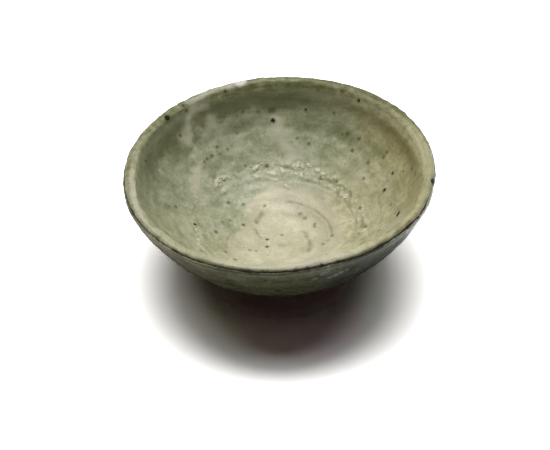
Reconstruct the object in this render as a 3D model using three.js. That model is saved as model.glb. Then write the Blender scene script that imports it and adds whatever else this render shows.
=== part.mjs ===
// A wheel-thrown pottery bowl: a round stoneware shell on a ring foot, under a pale green glaze.
// Millimetres, +Z up. The bowl stands on z = 0 and the Z axis is the wheel's axis.
import * as THREE from "three";

// Driving dimensions of the fired bowl
const lipRadius = 75; // axis to the outer edge of the lip
const bowlHeight = 62; // table to the crown of the lip, on average around the bowl
const lipWidth = 6; // across the rolled lip, glaze included
const lipRise = 3.3; // the lip was thrown uneven: this much above its average at +X, below it at -X
const floorThickness = 7.2; // clay in the middle of the bowl
const footRadius = 26; // outside of the foot ring
const footHeight = 10.5; // table to the corner where the foot ring meets the wall
const footWidth = 6; // across the foot ring
const footChamfer = 0.8; // broken edges of the standing face
const glazeThickness = 0.8;
const bareLipWidth = 1.1; // line of bare clay around the lip, where the glaze drew back
const bareLipAngle = 40; // degrees that this line lies above the outermost edge of the lip's roll
const glazeLine = 3; // bare clay on the wall between the outer glaze and the foot ring
const baseGlazeMargin = 1.5; // bare clay between the base glaze and the foot ring
const gritRadius = 41.5; // axis to the ring of kiln grit inside
const gritWidth = 3.2;
const gritHeight = 0.6; // of the tallest crumbs
const gritCrumbs = 36; // crumbs around the ring
const gritFlatTop = 0.45; // share of the grit ring's width that is on top
const seatGap = 0.3; // between pieces that the kiln has joined

// Fineness of the facets
const facetsAround = 60;
const facetsPerCrumb = 3;
const stepsInside = 12;
const stepsOutside = 9;
const stepsOverLip = 6;
const stepsAcrossFoot = 3;

// Every surface is named by its depth under the finished one: the glaze's face, its back, then the clay
const glazeFace = 0;
const glazeBack = glazeThickness;
const clayFace = glazeThickness + seatGap;

// The lip is a roll of round section
const rollRadius = lipWidth / 2;
const rollCentre = new THREE.Vector2(lipRadius - rollRadius, bowlHeight - rollRadius);

// The outer wall is an arc around the axis that meets the foot's corner and runs smoothly into the roll:
// its centre is as far from the corner as from the far side of the roll, which gives a quadratic
function outerCentreHeight() {
  const clayRoll = rollRadius - clayFace;
  const slope = 2 * (rollCentre.y - footHeight);
  const offset = footRadius ** 2 + footHeight ** 2 - rollCentre.lengthSq() - clayRoll ** 2;
  const a = slope ** 2 - 4 * clayRoll ** 2;
  const b = 2 * slope * offset + 8 * clayRoll ** 2 * rollCentre.y;
  const c = offset ** 2 - 4 * clayRoll ** 2 * rollCentre.lengthSq();
  return (-b + Math.sqrt(b ** 2 - 4 * a * c)) / (2 * a);
}
const outerCentre = new THREE.Vector2(0, outerCentreHeight());
const outerRadius = outerCentre.distanceTo(rollCentre) + rollRadius;

// The inner wall is an arc around the axis from the middle of the floor to the crease under the roll
const clayBottom = outerCentre.y - outerRadius + clayFace;
const floorHeight = clayBottom + floorThickness + clayFace;
const crease = new THREE.Vector2(rollCentre.x - rollRadius, rollCentre.y);
const innerRise = crease.y - floorHeight;
const innerRadius = (crease.x ** 2 + innerRise ** 2) / (2 * innerRise);
const innerCentre = new THREE.Vector2(0, floorHeight + innerRadius);

// Angles along the section, counted from straight out
const straightDown = -Math.PI / 2;
const creaseAngle = Math.atan2(crease.y - innerCentre.y, crease.x);
const rollStart = Math.PI;
const rollEnd = Math.atan2(rollCentre.y - outerCentre.y, rollCentre.x);
const bareMiddle = THREE.MathUtils.degToRad(bareLipAngle);
const bareHalf = bareLipWidth / 2 / rollRadius;
const bareGap = bareHalf + seatGap / rollRadius;

function arc(centre, radius, from, to, steps) {
  return Array.from({ length: steps + 1 }, (_, i) => {
    const angle = from + ((to - from) * i) / steps;
    return new THREE.Vector2(centre.x + radius * Math.cos(angle), centre.y + radius * Math.sin(angle));
  });
}

const innerWall = (depth) => arc(innerCentre, innerRadius + depth, straightDown, creaseAngle, stepsInside);
const roll = (depth, from, to, steps) => arc(rollCentre, rollRadius - depth, from, to, steps);
const outerWall = (depth, to) => arc(outerCentre, outerRadius - depth, rollEnd, to, stepsOutside);

// The angle at which an arc around the axis reaches a distance from that axis, on its underside
const angleBelow = (radius, distance) => -Math.acos(distance / radius);

// A solid of revolution from a section that is closed, or that starts and ends on the axis
function turned(section, facets = facetsAround) {
  return new THREE.LatheGeometry(section, facets).rotateX(Math.PI / 2);
}

// The same section with its first point again at the end
const closed = (section) => [...section, section[0]];

// Lifts the wall on one side and lowers it on the other, from nothing at the floor to the whole rise at the lip
function unevenLip(geometry) {
  const position = geometry.getAttribute("position");
  for (let i = 0; i < position.count; i++) {
    const height = position.getZ(i);
    const share = Math.max(0, height - floorHeight) / (bowlHeight - floorHeight);
    position.setZ(i, height + lipRise * share ** 2 * (position.getX(i) / lipRadius));
  }
  return geometry;
}

// The thrown shell, from the floor up inside, over the lip and down the outside to the middle again.
// Between the two coats of glaze its lip stands up to the finished surface.
function clayBody() {
  const bare = [bareMiddle + bareHalf, bareMiddle - bareHalf];
  const section = [
    ...innerWall(clayFace),
    ...roll(clayFace, rollStart, bare[0], stepsOverLip),
    ...roll(glazeFace, bare[0], bare[1], 1),
    ...roll(clayFace, bare[1], rollEnd, stepsOverLip / 2),
    ...outerWall(clayFace, straightDown).slice(1),
  ];
  return turned(section.reverse());
}

// A ring luted to the curved underside of the shell
function footRing() {
  const seat = outerRadius - clayFace + seatGap;
  const inside = footRadius - footWidth;
  const top = arc(
    outerCentre,
    seat,
    angleBelow(seat, footRadius),
    angleBelow(seat, inside),
    stepsAcrossFoot,
  );
  return turned(
    closed([
      ...top,
      new THREE.Vector2(inside, footChamfer),
      new THREE.Vector2(inside + footChamfer, 0),
      new THREE.Vector2(footRadius - footChamfer, 0),
      new THREE.Vector2(footRadius, footChamfer),
    ]),
  );
}

// A coat of glaze lies between its face and its back, and the back runs the other way
const coat = (sectionAt) => [...sectionAt(glazeFace), ...sectionAt(glazeBack).reverse()];

// Covers the floor, the inner wall and the crown of the lip
function innerGlaze() {
  const section = coat((depth) => [
    ...innerWall(depth),
    ...roll(depth, rollStart, bareMiddle + bareGap, stepsOverLip),
  ]);
  return turned(section.reverse());
}

// Covers the outer edge of the lip and the outer wall, and stops short of the foot ring
function outerGlaze() {
  const stop = angleBelow(outerRadius - clayFace, footRadius) + glazeLine / outerRadius;
  const section = coat((depth) => [
    ...roll(depth, bareMiddle - bareGap, rollEnd, stepsOverLip / 2),
    ...outerWall(depth, stop).slice(1),
  ]);
  return turned(closed(section).reverse());
}

// Covers the underside of the shell within the foot ring
function baseGlaze() {
  const back = outerRadius - clayFace + seatGap;
  const edge = angleBelow(back, footRadius - footWidth - baseGlazeMargin);
  const spread = (radius) => arc(outerCentre, radius, straightDown, edge, stepsAcrossFoot);
  return turned([...spread(back + glazeThickness), ...spread(back).reverse()]);
}

// A crust of kiln grit on the inner glaze, in crumbs of uneven height
function kilnGritRing() {
  const seat = innerRadius - seatGap;
  const middle = angleBelow(seat, gritRadius);
  const half = gritWidth / 2 / seat;
  const crust = (radius, reach) => arc(innerCentre, radius, middle - reach, middle + reach, 2);
  const section = [...crust(seat, half), ...crust(seat - gritHeight, half * gritFlatTop).reverse()];
  const geometry = turned(closed(section), gritCrumbs * facetsPerCrumb);
  const position = geometry.getAttribute("position");
  for (let i = 0; i < position.count; i++) {
    const around = Math.atan2(position.getY(i), position.getX(i));
    const across = Math.hypot(position.getX(i), position.getY(i));
    const point = new THREE.Vector2(across, position.getZ(i)).sub(innerCentre);
    const standing = (seat - point.length()) * crumb(around);
    point.setLength(seat - standing).add(innerCentre);
    position.setXYZ(i, point.x * Math.cos(around), point.x * Math.sin(around), point.y);
  }
  return geometry;
}

// The height of the crust at an angle around the bowl, as a share of the tallest crumb: one swell for each
// crumb, and slower swells that leave some stretches of the ring fuller than others
function crumb(around) {
  const crumbShare = 0.25;
  const stretchShare = 0.15;
  const stretches = Math.sin(3 * around) * Math.sin(7 * around);
  const swell = crumbShare * Math.cos(gritCrumbs * around) + stretchShare * stretches;
  return 1 - crumbShare - stretchShare + swell;
}

const pieces = [
  { name: "clay_body", geometry: unevenLip(clayBody()), color: 0x7a6a55, roughness: 0.9 },
  { name: "foot_ring", geometry: footRing(), color: 0x84725c, roughness: 0.9 },
  { name: "inner_glaze", geometry: unevenLip(innerGlaze()), color: 0xb0ad93, roughness: 0.3 },
  { name: "outer_glaze", geometry: unevenLip(outerGlaze()), color: 0x9c9e86, roughness: 0.3 },
  { name: "base_glaze", geometry: baseGlaze(), color: 0x9c9e86, roughness: 0.35 },
  { name: "kiln_grit_ring", geometry: unevenLip(kilnGritRing()), color: 0xcdc8b0, roughness: 0.7 },
];

const bowl = new THREE.Group();
for (const { name, geometry, color, roughness } of pieces) {
  const material = new THREE.MeshStandardMaterial({ color, roughness, metalness: 0 });
  const mesh = new THREE.Mesh(geometry, material);
  mesh.name = name;
  bowl.add(mesh);
}

export default bowl;
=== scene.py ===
import math

import bmesh
import bpy
import numpy as np
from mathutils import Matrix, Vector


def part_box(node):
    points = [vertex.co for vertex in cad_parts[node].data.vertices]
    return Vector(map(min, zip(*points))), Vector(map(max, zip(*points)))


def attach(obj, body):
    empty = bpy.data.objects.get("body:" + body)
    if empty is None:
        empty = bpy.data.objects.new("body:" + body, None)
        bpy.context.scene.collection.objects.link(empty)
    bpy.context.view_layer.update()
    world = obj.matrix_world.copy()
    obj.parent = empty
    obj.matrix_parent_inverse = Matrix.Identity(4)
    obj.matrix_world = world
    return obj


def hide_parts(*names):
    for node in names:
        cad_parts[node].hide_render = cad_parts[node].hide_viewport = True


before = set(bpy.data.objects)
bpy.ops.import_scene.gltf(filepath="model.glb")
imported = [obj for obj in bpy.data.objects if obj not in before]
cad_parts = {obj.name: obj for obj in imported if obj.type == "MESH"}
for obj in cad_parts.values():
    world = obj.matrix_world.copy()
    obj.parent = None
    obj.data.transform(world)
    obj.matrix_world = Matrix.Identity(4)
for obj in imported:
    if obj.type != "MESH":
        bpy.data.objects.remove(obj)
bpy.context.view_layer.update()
mm = 0.001
fullTurn = 2 * math.pi
print("frame loaded:", ", ".join(sorted(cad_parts)))

# the bowl as thrown, in metres; what the solids can tell is read from their boxes
bowlShape = {
    "lipRadius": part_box("outer_glaze")[1][0],
    "footRadius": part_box("foot_ring")[1][0],
    "innerFloor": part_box("inner_glaze")[0][2],  # back of the glaze in the middle of the floor
    "baseBottom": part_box("base_glaze")[0][2],  # face of the base glaze in the middle
    "crown": 62.0 * mm,  # lip's crown above the table, on average
    "lipWidth": 6.0 * mm,
    "creaseRadius": 25.0 * mm,  # glaze rounds the crease under the lip
    "glaze": 0.8 * mm,
    "clayDepth": 1.1 * mm,  # clay under the finished surface
    "lipRise": 3.3 * mm,  # lip stands higher at +X and lower at -X
}

# slow unevenness of the lip: degrees around, degrees wide, then mm outward and mm upward
lipWaves = [
    (-30, 14, 1.1, 0.2),
    (-73, 12, -0.9, 0.35),
    (-120, 15, 0.5, -0.1),
    (100, 22, 0.25, 0.3),
    (28, 26, 0.5, 0.3),
    (62, 12, 0.25, 0.1),
    (148, 20, 0.15, 0.2),
    (186, 12, -0.4, 0.0),
    (-5, 9, 0.3, 0.0),
]

# line of bare clay around the lip, where the glaze drew back; in degrees around the lip's roll
bareLine = {
    "angle": 35,  # its middle, above the lip's outermost edge
    "half": 2.6,  # from its middle to its edges
    "wobble": 1.3,
    # lower and wider on the right in front: degrees around, degrees wide, then degrees of change
    "lower": (-64, 27, 10),
    "wider": (-70, 34, 2.4),
    # where it was not burnt, and is narrower: degrees around, degrees wide, share
    "unburnt": [
        (145, 62, 1.0),
        (-19.5, 5.5, 0.9),
    ],
    "narrower": 1.4,
}

# places where the glaze broke off the lip: degrees around, degrees wide, degrees that it drew back
lipChips = [
    (-12.5, 1.5, 30),
    (-38, 3.0, 8),
    (-52, 2.0, 10),
    (-69, 1.1, 7),
    (-75, 0.6, 11),
    (-80, 0.7, 8),
    (-84, 1.0, 7),
    (-101, 2.0, 8),
    (-128, 1.5, 9),
    (62, 2.0, 8),
    (131, 1.4, 10),
    (205, 1.6, 9),
]


# a curve of the section: depth counts into the clay, whichever side its centre is on
def sectionCurve(r, z, radius, hollow):
    return {"r": r, "z": z, "radius": radius, "sign": 1 if hollow else -1}


def sectionPoint(curve, angle, depth):
    reach = curve["radius"] + curve["sign"] * depth
    return curve["r"] + reach * np.cos(angle), curve["z"] + reach * np.sin(angle)


straightDown = -math.pi / 2
roll = bowlShape["lipWidth"] / 2
rollR = bowlShape["lipRadius"] - roll
rollZ = bowlShape["crown"] - roll
lipRoll = sectionCurve(rollR, rollZ, roll, False)

# the outer wall runs from under the middle of the floor smoothly into the roll
lowest = bowlShape["baseBottom"] + roll
outerZ = (rollR ** 2 + rollZ ** 2 - lowest ** 2) / (2 * (rollZ - lowest))
outerWall = sectionCurve(0, outerZ, outerZ - bowlShape["baseBottom"], False)
rollEnd = math.atan2(rollZ - outerZ, rollR)

# the inner wall runs from the middle of the floor to the near side of the roll
floorZ = bowlShape["innerFloor"] + bowlShape["glaze"]
innerRise = rollZ - floorZ
innerRadius = ((rollR - roll) ** 2 + innerRise ** 2) / (2 * innerRise)
innerZ = floorZ + innerRadius
innerWall = sectionCurve(0, innerZ, innerRadius, True)

# the fillet of glaze in the crease touches the inner wall and the roll
toWall = innerRadius - bowlShape["creaseRadius"]
toRoll = roll + bowlShape["creaseRadius"]
apart = math.hypot(rollR, rollZ - innerZ)
forward = (toWall ** 2 - toRoll ** 2 + apart ** 2) / (2 * apart)
sideways = math.sqrt(toWall ** 2 - forward ** 2)
towards = (rollR / apart, (rollZ - innerZ) / apart)
creaseR = forward * towards[0] + sideways * towards[1]
creaseZ = innerZ + forward * towards[1] - sideways * towards[0]
lipCrease = sectionCurve(creaseR, creaseZ, bowlShape["creaseRadius"], True)
innerEnd = math.atan2(creaseZ - innerZ, creaseR)
creaseEnd = math.atan2(rollZ - creaseZ, rollR - creaseR)
rollStart = creaseEnd + math.pi
wallLength = innerRadius * (innerEnd - straightDown)
creaseLength = bowlShape["creaseRadius"] * (creaseEnd - innerEnd)


def smooth(low, high, value):
    share = np.clip((value - low) / (high - low), 0, 1)
    return share * share * (3 - 2 * share)


# how far apart two directions around the bowl are, in radians
def turnBetween(theta, degrees):
    return (theta - math.radians(degrees) + math.pi) % fullTurn - math.pi


# 1 where the distance is nothing, and less further away
def bulge(distance, reach, power=2):
    return np.exp(-(distance / reach) ** power)


# 1 in one direction around the bowl, and less beside it
def near(theta, degrees, wide, power=2):
    return bulge(turnBetween(theta, degrees), math.radians(wide), power)


# 1 at an edge, dying away within it
def withinEdge(distance, reach):
    return np.exp(-np.clip(distance, 0, None) / reach)


# values given in some directions, carried over to all the others
def aroundBowl(theta, degrees, values):
    return np.interp(theta, np.radians(degrees), values, period=fullTurn)


# seeded unevenness around the bowl, about -1 to 1
def aroundNoise(theta, seed, slowest, fastest):
    draw = np.random.default_rng(seed)
    total = np.zeros_like(theta)
    for waves in range(slowest, fastest + 1):
        total += draw.normal() * np.cos(waves * theta + draw.uniform(0, fullTurn))
    return total / math.sqrt(fastest - slowest + 1)


# seeded lumps in space, about -1 to 1; points and size in the same unit
def lumps(points, size, seed, waves=24):
    draw = np.random.default_rng(seed)
    total = np.zeros(len(points))
    for _ in range(waves):
        direction = draw.normal(size=3)
        direction *= fullTurn * draw.uniform(0.7, 1.4) / size / np.linalg.norm(direction)
        total += np.cos(points @ direction + draw.uniform(0, fullTurn))
    return total / math.sqrt(waves)


# several layers of lumps: height, size and seed of each
def layered(points, layers):
    return sum(height * lumps(points, size, seed) for height, size, seed in layers)


# the wheel's true circle becomes the uneven bowl: a tilted lip with slow waves
def thrown(points):
    x, y, z = points.T
    share = np.clip((z - floorZ) / (bowlShape["crown"] - floorZ), 0, None)
    theta = np.arctan2(y, x)
    up = bowlShape["lipRise"] * share ** 2 * x / bowlShape["lipRadius"]
    out = np.zeros_like(x)
    for degrees, wide, outward, upward in lipWaves:
        swell = near(theta, degrees, wide) * share ** 3 * mm
        out += outward * swell
        up += upward * swell
    return np.stack([x + out * np.cos(theta), y + out * np.sin(theta), z + up], 1)


# degrees that the glaze drew back from the bare line where it broke off
def chipDrawBack(theta):
    return sum(drawn * near(theta, degrees, wide, 4) for degrees, wide, drawn in lipChips)


# 1 on the left and at the back, and in a short stretch on the right, where the lip's edge was not burnt
def unburnt(theta):
    return sum(share * near(theta, degrees, wide, 4) for degrees, wide, share in bareLine["unburnt"])


def burntShare(theta):
    return 1 - 0.85 * unburnt(theta)


# degrees from the middle of the bare line to its edges, widest in front on the right
def lineHalf(theta):
    degrees, wide, wider = bareLine["wider"]
    return bareLine["half"] + wider * near(theta, degrees, wide) - bareLine["narrower"] * unburnt(theta)


# degrees of the middle of the bare line, which lies lower in front on the right
def lineMiddle(theta):
    degrees, wide, lower = bareLine["lower"]
    return bareLine["angle"] - lower * near(theta, degrees, wide)


# degrees that an edge of the glaze wanders: slow waves and quick ones
def lineWobble(theta, seed):
    return bareLine["wobble"] * (aroundNoise(theta, seed, 3, 14) + aroundNoise(theta, seed + 1, 20, 70))


def innerStop(theta):
    return np.radians(lineMiddle(theta) + lineHalf(theta) + lineWobble(theta, 11) + chipDrawBack(theta))


def outerStart(theta):
    return np.radians(lineMiddle(theta) - lineHalf(theta) + lineWobble(theta, 13) - 0.5 * chipDrawBack(theta))


# rows of points along a curve; start and end are angles, or functions of the direction around
def sweep(curve, start, end, count, depth, spacing, skip=0):
    row = {"curve": curve, "start": start, "end": end, "depth": depth, "spacing": spacing}
    return [{**row, "share": step / count} for step in range(skip, count + 1)]


def angleAt(row, theta):
    start = row["start"](theta) if callable(row["start"]) else row["start"]
    end = row["end"](theta) if callable(row["end"]) else row["end"]
    return start + (end - start) * row["share"] + np.zeros_like(theta)


# rings of points, finer where the bowl is wider; neighbouring rings differ by twice at most
def layRings(rows, mostColumns, closed=False, leastColumns=24):
    counts = []
    for row in rows:
        radius = sectionPoint(row["curve"], angleAt(row, np.zeros(1)), row["depth"])[0][0]
        count = mostColumns
        while count > leastColumns and 2 * fullTurn * radius / count < row["spacing"]:
            count //= 2
        counts.append(count if radius > 0.001 * mm else 1)  # a single point on the axis
    for step in (1, -1, 1, -1):
        for i in range(len(counts))[::step]:
            beside = i - step
            if counts[i] > 1 and (closed or 0 <= beside < len(counts)):
                counts[i] = max(counts[i], counts[beside % len(counts)] // 2)
    rings = {"counts": counts, "starts": np.concatenate([[0], np.cumsum(counts)[:-1]]).astype(int)}
    columns = {key: [] for key in ("theta", "angle", "depth", "r", "z", "radius", "sign", "row")}
    for index, (row, count) in enumerate(zip(rows, counts)):
        theta = np.arange(count) * (fullTurn / count)
        columns["theta"].append(theta)
        columns["angle"].append(angleAt(row, theta))
        columns["depth"].append(np.full(count, row["depth"]))
        columns["row"].append(np.full(count, index))
        for key in ("r", "z", "radius", "sign"):
            columns[key].append(np.full(count, row["curve"][key], float))
    for key, parts in columns.items():
        rings[key] = np.concatenate(parts)
    return rings


# points of the rings, with their relief standing out of the surface
def ringPoints(rings, relief=0.0):
    reach = rings["radius"] + rings["sign"] * (rings["depth"] - relief)
    r = rings["r"] + reach * np.cos(rings["angle"])
    z = rings["z"] + reach * np.sin(rings["angle"])
    return np.stack([r * np.cos(rings["theta"]), r * np.sin(rings["theta"]), z], 1)


# faces between two rings whose counts are alike, double, half or a single point on the axis
def stripFaces(low, lowCount, high, highCount):
    count = min(c for c in (lowCount, highCount) if c > 1)
    j = np.arange(count)
    k = (j + 1) % count
    if lowCount == 1:
        return [([low + 0 * j, high + j, high + k], [0, 1, 1])]
    if highCount == 1:
        return [([low + j, high + 0 * j, low + k], [0, 1, 0])]
    if lowCount == highCount:
        return [([low + j, high + j, high + k, low + k], [0, 1, 1, 0])]
    middle = 2 * j + 1
    if highCount == 2 * lowCount:
        return [
            ([low + j, high + 2 * j, high + middle], [0, 1, 1]),
            ([low + j, high + middle, low + k], [0, 1, 0]),
            ([low + k, high + middle, high + 2 * k], [0, 1, 1]),
        ]
    return [
        ([low + 2 * j, high + j, low + middle], [0, 1, 0]),
        ([low + middle, high + j, high + k], [0, 1, 1]),
        ([low + middle, high + k, low + 2 * k], [0, 1, 0]),
    ]


# discs that a piece's skin takes on its map: middle and radius
largeDisc = ((0.36, 0.64), 0.355)
middleDisc = ((0.80, 0.20), 0.19)
smallDisc = ((0.86, 0.14), 0.135)
hiddenSpacing = 4 * mm  # of points, where a piece is hidden by its neighbour


# a closed skin over the rings; each disc of the map takes a run of rings: first, last, middle, radius
def ringMesh(name, rings, points, discs, fields=None):
    counts, starts = rings["counts"], rings["starts"]
    profile = np.stack([np.hypot(points[starts, 0], points[starts, 1]), points[starts, 2]], 1)
    faces = []
    corners = []
    for first, last, middle, radius in discs:
        steps = np.linalg.norm(np.diff(profile[np.arange(first, last + 1) % len(counts)], axis=0), axis=1)
        travel = np.concatenate([[0], np.cumsum(steps)])
        ends = profile[[first, last % len(counts)], 0]
        flat = ends[0] + travel if ends[1] >= ends[0] else ends[1] + travel[-1] - travel
        flat = flat / flat.max() * radius
        for i in range(first, last):
            a, b = i % len(counts), (i + 1) % len(counts)
            for corner, side in stripFaces(starts[a], counts[a], starts[b], counts[b]):
                face = np.stack(corner, 1)
                out = np.array([flat[i - first], flat[i - first + 1]])[side]
                theta = rings["theta"][face]
                uv = np.stack([middle[0] + out * np.cos(theta), middle[1] + out * np.sin(theta)], 2)
                faces.extend(face.tolist())
                corners.append(uv.reshape(-1, 2))
    mesh = bpy.data.meshes.new(name)
    mesh.from_pydata(points.tolist(), [], faces)
    layer = mesh.uv_layers.new(name="OFBake")
    layer.data.foreach_set("uv", np.concatenate(corners).ravel())
    for key, values in (fields or {}).items():
        attribute = mesh.attributes.new(key, "FLOAT", "POINT")
        attribute.data.foreach_set("value", np.asarray(values, np.float32))
    return addPiece(name, mesh)


def addPiece(name, mesh):
    mesh.shade_smooth()
    mesh.update()
    piece = bpy.data.objects.new(name, mesh)
    bpy.context.scene.collection.objects.link(piece)
    return piece


# a piece rides on the bowl, stands for its solid and takes that solid's finish
def settle(piece, node, material):
    piece.data.materials.append(material)
    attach(piece, "root")
    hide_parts(node)
    print("made", piece.name, "with", len(piece.data.polygons), "faces")


# the finished inner surface above a place on the plan, all in mm
def onInnerFace(x, y):
    r = np.hypot(x, y) * mm
    wall = innerZ - np.sqrt(np.clip(innerRadius ** 2 - r ** 2, 0, None))
    crown = rollZ + np.sqrt(np.clip(roll ** 2 - (r - rollR) ** 2, 0, None))
    z = np.where(r < rollR - roll, wall, crown)
    return np.stack([x, y, z / mm], -1)


# nodes take numbers or sockets for their inputs
def newNode(tree, kind, inputs=None, **settings):
    node = tree.nodes.new(kind)
    for key, value in settings.items():
        setattr(node, key, value)
    for key, value in (inputs or {}).items():
        if isinstance(value, bpy.types.NodeSocket):
            tree.links.new(value, node.inputs[key])
        else:
            node.inputs[key].default_value = value
    return node


def maths(tree, operation, a, b=0.0):
    return newNode(tree, "ShaderNodeMath", {0: a, 1: b}, operation=operation).outputs[0]


def plus(tree, a, b):
    return maths(tree, "ADD", a, b)


def times(tree, a, b):
    return maths(tree, "MULTIPLY", a, b)


def larger(tree, a, b):
    return maths(tree, "MAXIMUM", a, b)


# value runs from low to high: the answer runs smoothly from 0 to 1, or back where low is the larger
def fade(tree, value, low, high):
    inputs = {"Value": value, "From Min": low, "From Max": high}
    return newNode(tree, "ShaderNodeMapRange", inputs, interpolation_type="SMOOTHSTEP").outputs[0]


def mixColour(tree, share, a, b, blend="MIX"):
    node = newNode(tree, "ShaderNodeMix", {0: share, 6: a, 7: b}, data_type="RGBA", blend_type=blend)
    return node.outputs[2]


# the base multiplied by a tint, as far as share says
def tinted(tree, share, base, tint):
    return mixColour(tree, share, base, tint, "MULTIPLY")


# some of a colour laid over the base where a mask is
def laid(tree, mask, amount, base, over):
    return mixColour(tree, times(tree, mask, amount), base, over)


def field(tree, name):
    return newNode(tree, "ShaderNodeAttribute", attribute_name=name).outputs["Fac"]


def noise(tree, place, scale, detail=3.0, rough=0.55):
    inputs = {"Vector": place, "Scale": scale, "Detail": detail, "Roughness": rough}
    return newNode(tree, "ShaderNodeTexNoise", inputs).outputs["Fac"]


# a noise moved to lie evenly about 0, and made this wide
def shifted(tree, value, width):
    return times(tree, maths(tree, "SUBTRACT", value, 0.5), width)


def mottled(tree, value, mottle, width):
    return plus(tree, value, shifted(tree, mottle, width))


# a field of the mesh with a ragged edge, and nothing where the field is empty
def raggedMask(tree, name, mottle, width, limits, clear):
    value = field(tree, name)
    mask = fade(tree, mottled(tree, value, mottle, width), *limits)
    return times(tree, mask, fade(tree, value, *clear))


def colour(red, green, blue):
    return (red, green, blue, 1.0)


def grey(level):
    return colour(level, level, level)


def newGroup(name, inputs, outputs):
    tree = bpy.data.node_groups.new(name, "ShaderNodeTree")
    for key, value in inputs.items():
        socket = tree.interface.new_socket(key, in_out="INPUT", socket_type="NodeSocketFloat")
        socket.default_value = value
    for key, kind in outputs.items():
        tree.interface.new_socket(key, in_out="OUTPUT", socket_type=kind)
    return tree, tree.nodes.new("NodeGroupInput"), tree.nodes.new("NodeGroupOutput")


def useGroup(tree, group, inputs):
    return newNode(tree, "ShaderNodeGroup", inputs, node_tree=group).outputs


# places in mm, from the piece's own coordinates
def millimetres(tree):
    place = newNode(tree, "ShaderNodeTexCoord").outputs["Object"]
    return newNode(tree, "ShaderNodeVectorMath", {0: place, "Scale": 1000.0}, operation="SCALE").outputs[0]


# streaks that the wheel drew around the bowl: long around it and narrow up the wall
def makeWheelStreaks():
    inputs = {"Around": 4.0, "Across": 0.2, "Detail": 3.0}
    tree, given, result = newGroup("wheelStreaks", inputs, {"Streaks": "NodeSocketFloat"})
    around, across, detail = [given.outputs[key] for key in inputs]
    x, y, z = newNode(tree, "ShaderNodeSeparateXYZ", {0: millimetres(tree)}).outputs
    square = plus(tree, times(tree, x, x), times(tree, y, y))
    radius = larger(tree, maths(tree, "SQRT", square), 0.01)
    turned = {
        0: times(tree, maths(tree, "DIVIDE", x, radius), around),
        1: times(tree, maths(tree, "DIVIDE", y, radius), around),
        2: times(tree, plus(tree, radius, z), across),
    }
    place = newNode(tree, "ShaderNodeCombineXYZ", turned).outputs[0]
    tree.links.new(noise(tree, place, 1.0, detail), result.inputs["Streaks"])
    return tree


# cells strewn in space, each with its own chance and size; Spacing in mm
def strewn(tree, place, spacing, amount):
    scale = maths(tree, "DIVIDE", 1.0, spacing)
    cells = newNode(tree, "ShaderNodeTexVoronoi", {"Vector": place, "Scale": scale}).outputs
    chance, size, _ = newNode(tree, "ShaderNodeSeparateColor", {0: cells["Color"]}).outputs
    return cells["Distance"], size, maths(tree, "LESS_THAN", chance, amount)


# iron that came through the glaze: dark cores and the stain around them; lengths in mm
def makeIronSpecks():
    inputs = {"Spacing": 6.0, "Largest": 0.9, "Amount": 0.5}
    outputs = {"Core": "NodeSocketFloat", "Stain": "NodeSocketFloat"}
    tree, given, result = newGroup("ironSpecks", inputs, outputs)
    spacing, largest, amount = [given.outputs[key] for key in inputs]
    place = millimetres(tree)
    wander = {"Vector": place, "Scale": 1.1, "Detail": 2.0}
    wander = newNode(tree, "ShaderNodeTexNoise", wander).outputs["Color"]
    moved = {0: wander, 1: (0.9, 0.9, 0.9), 2: place}
    moved = newNode(tree, "ShaderNodeVectorMath", moved, operation="MULTIPLY_ADD").outputs[0]
    distance, size, here = strewn(tree, moved, spacing, amount)
    away = times(tree, distance, spacing)
    radius = times(tree, times(tree, size, size), largest)
    core = fade(tree, maths(tree, "SUBTRACT", away, radius), 0.12, -0.12)
    stain = fade(tree, maths(tree, "SUBTRACT", away, times(tree, radius, 1.8)), 0.5, -0.2)
    tree.links.new(times(tree, core, here), result.inputs["Core"])
    tree.links.new(times(tree, stain, here), result.inputs["Stain"])
    return tree


# cloudy patches in the glaze, and the finer curdling inside them; Size in mm
def makeGlazeClouds():
    outputs = {"Clouds": "NodeSocketFloat", "Curdle": "NodeSocketFloat"}
    tree, given, result = newGroup("glazeClouds", {"Size": 12.0}, outputs)
    place = millimetres(tree)
    scale = maths(tree, "DIVIDE", 1.0, given.outputs["Size"])
    finer = times(tree, scale, 6.0)
    tree.links.new(noise(tree, place, scale), result.inputs["Clouds"])
    tree.links.new(noise(tree, place, finer, rough=0.65), result.inputs["Curdle"])
    return tree


# pinholes in the glaze and the pores of bare clay: 0 in a hole, 1 outside; Spacing in mm
def makePinholes():
    inputs = {"Spacing": 1.6, "Amount": 0.3}
    tree, given, result = newGroup("pinholes", inputs, {"Height": "NodeSocketFloat"})
    spacing, amount = [given.outputs[key] for key in inputs]
    distance, size, here = strewn(tree, millimetres(tree), spacing, amount)
    hole = fade(tree, distance, times(tree, size, 0.35), 0.02)
    tree.links.new(maths(tree, "SUBTRACT", 1.0, times(tree, hole, here)), result.inputs["Height"])
    return tree


wheelStreaks = makeWheelStreaks()
ironSpecks = makeIronSpecks()
glazeClouds = makeGlazeClouds()
pinholes = makePinholes()
print("made the effects that the glazes and clays share")


# the shared effects, placed in a material with its own values
def clouded(tree, size):
    return useGroup(tree, glazeClouds, {"Size": size})


def streaked(tree, around, across, detail):
    return useGroup(tree, wheelStreaks, {"Around": around, "Across": across, "Detail": detail})[0]


def specked(tree, spacing, largest, amount):
    return useGroup(tree, ironSpecks, {"Spacing": spacing, "Largest": largest, "Amount": amount})


def holed(tree, spacing, amount):
    return useGroup(tree, pinholes, {"Spacing": spacing, "Amount": amount})[0]


def newMaterial(name):
    material = bpy.data.materials.new(name)
    material.use_nodes = True
    tree = material.node_tree
    tree.nodes.clear()
    shader = tree.nodes.new("ShaderNodeBsdfPrincipled")
    newNode(tree, "ShaderNodeOutputMaterial", {0: shader.outputs[0]})
    return material, tree, shader


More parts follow.
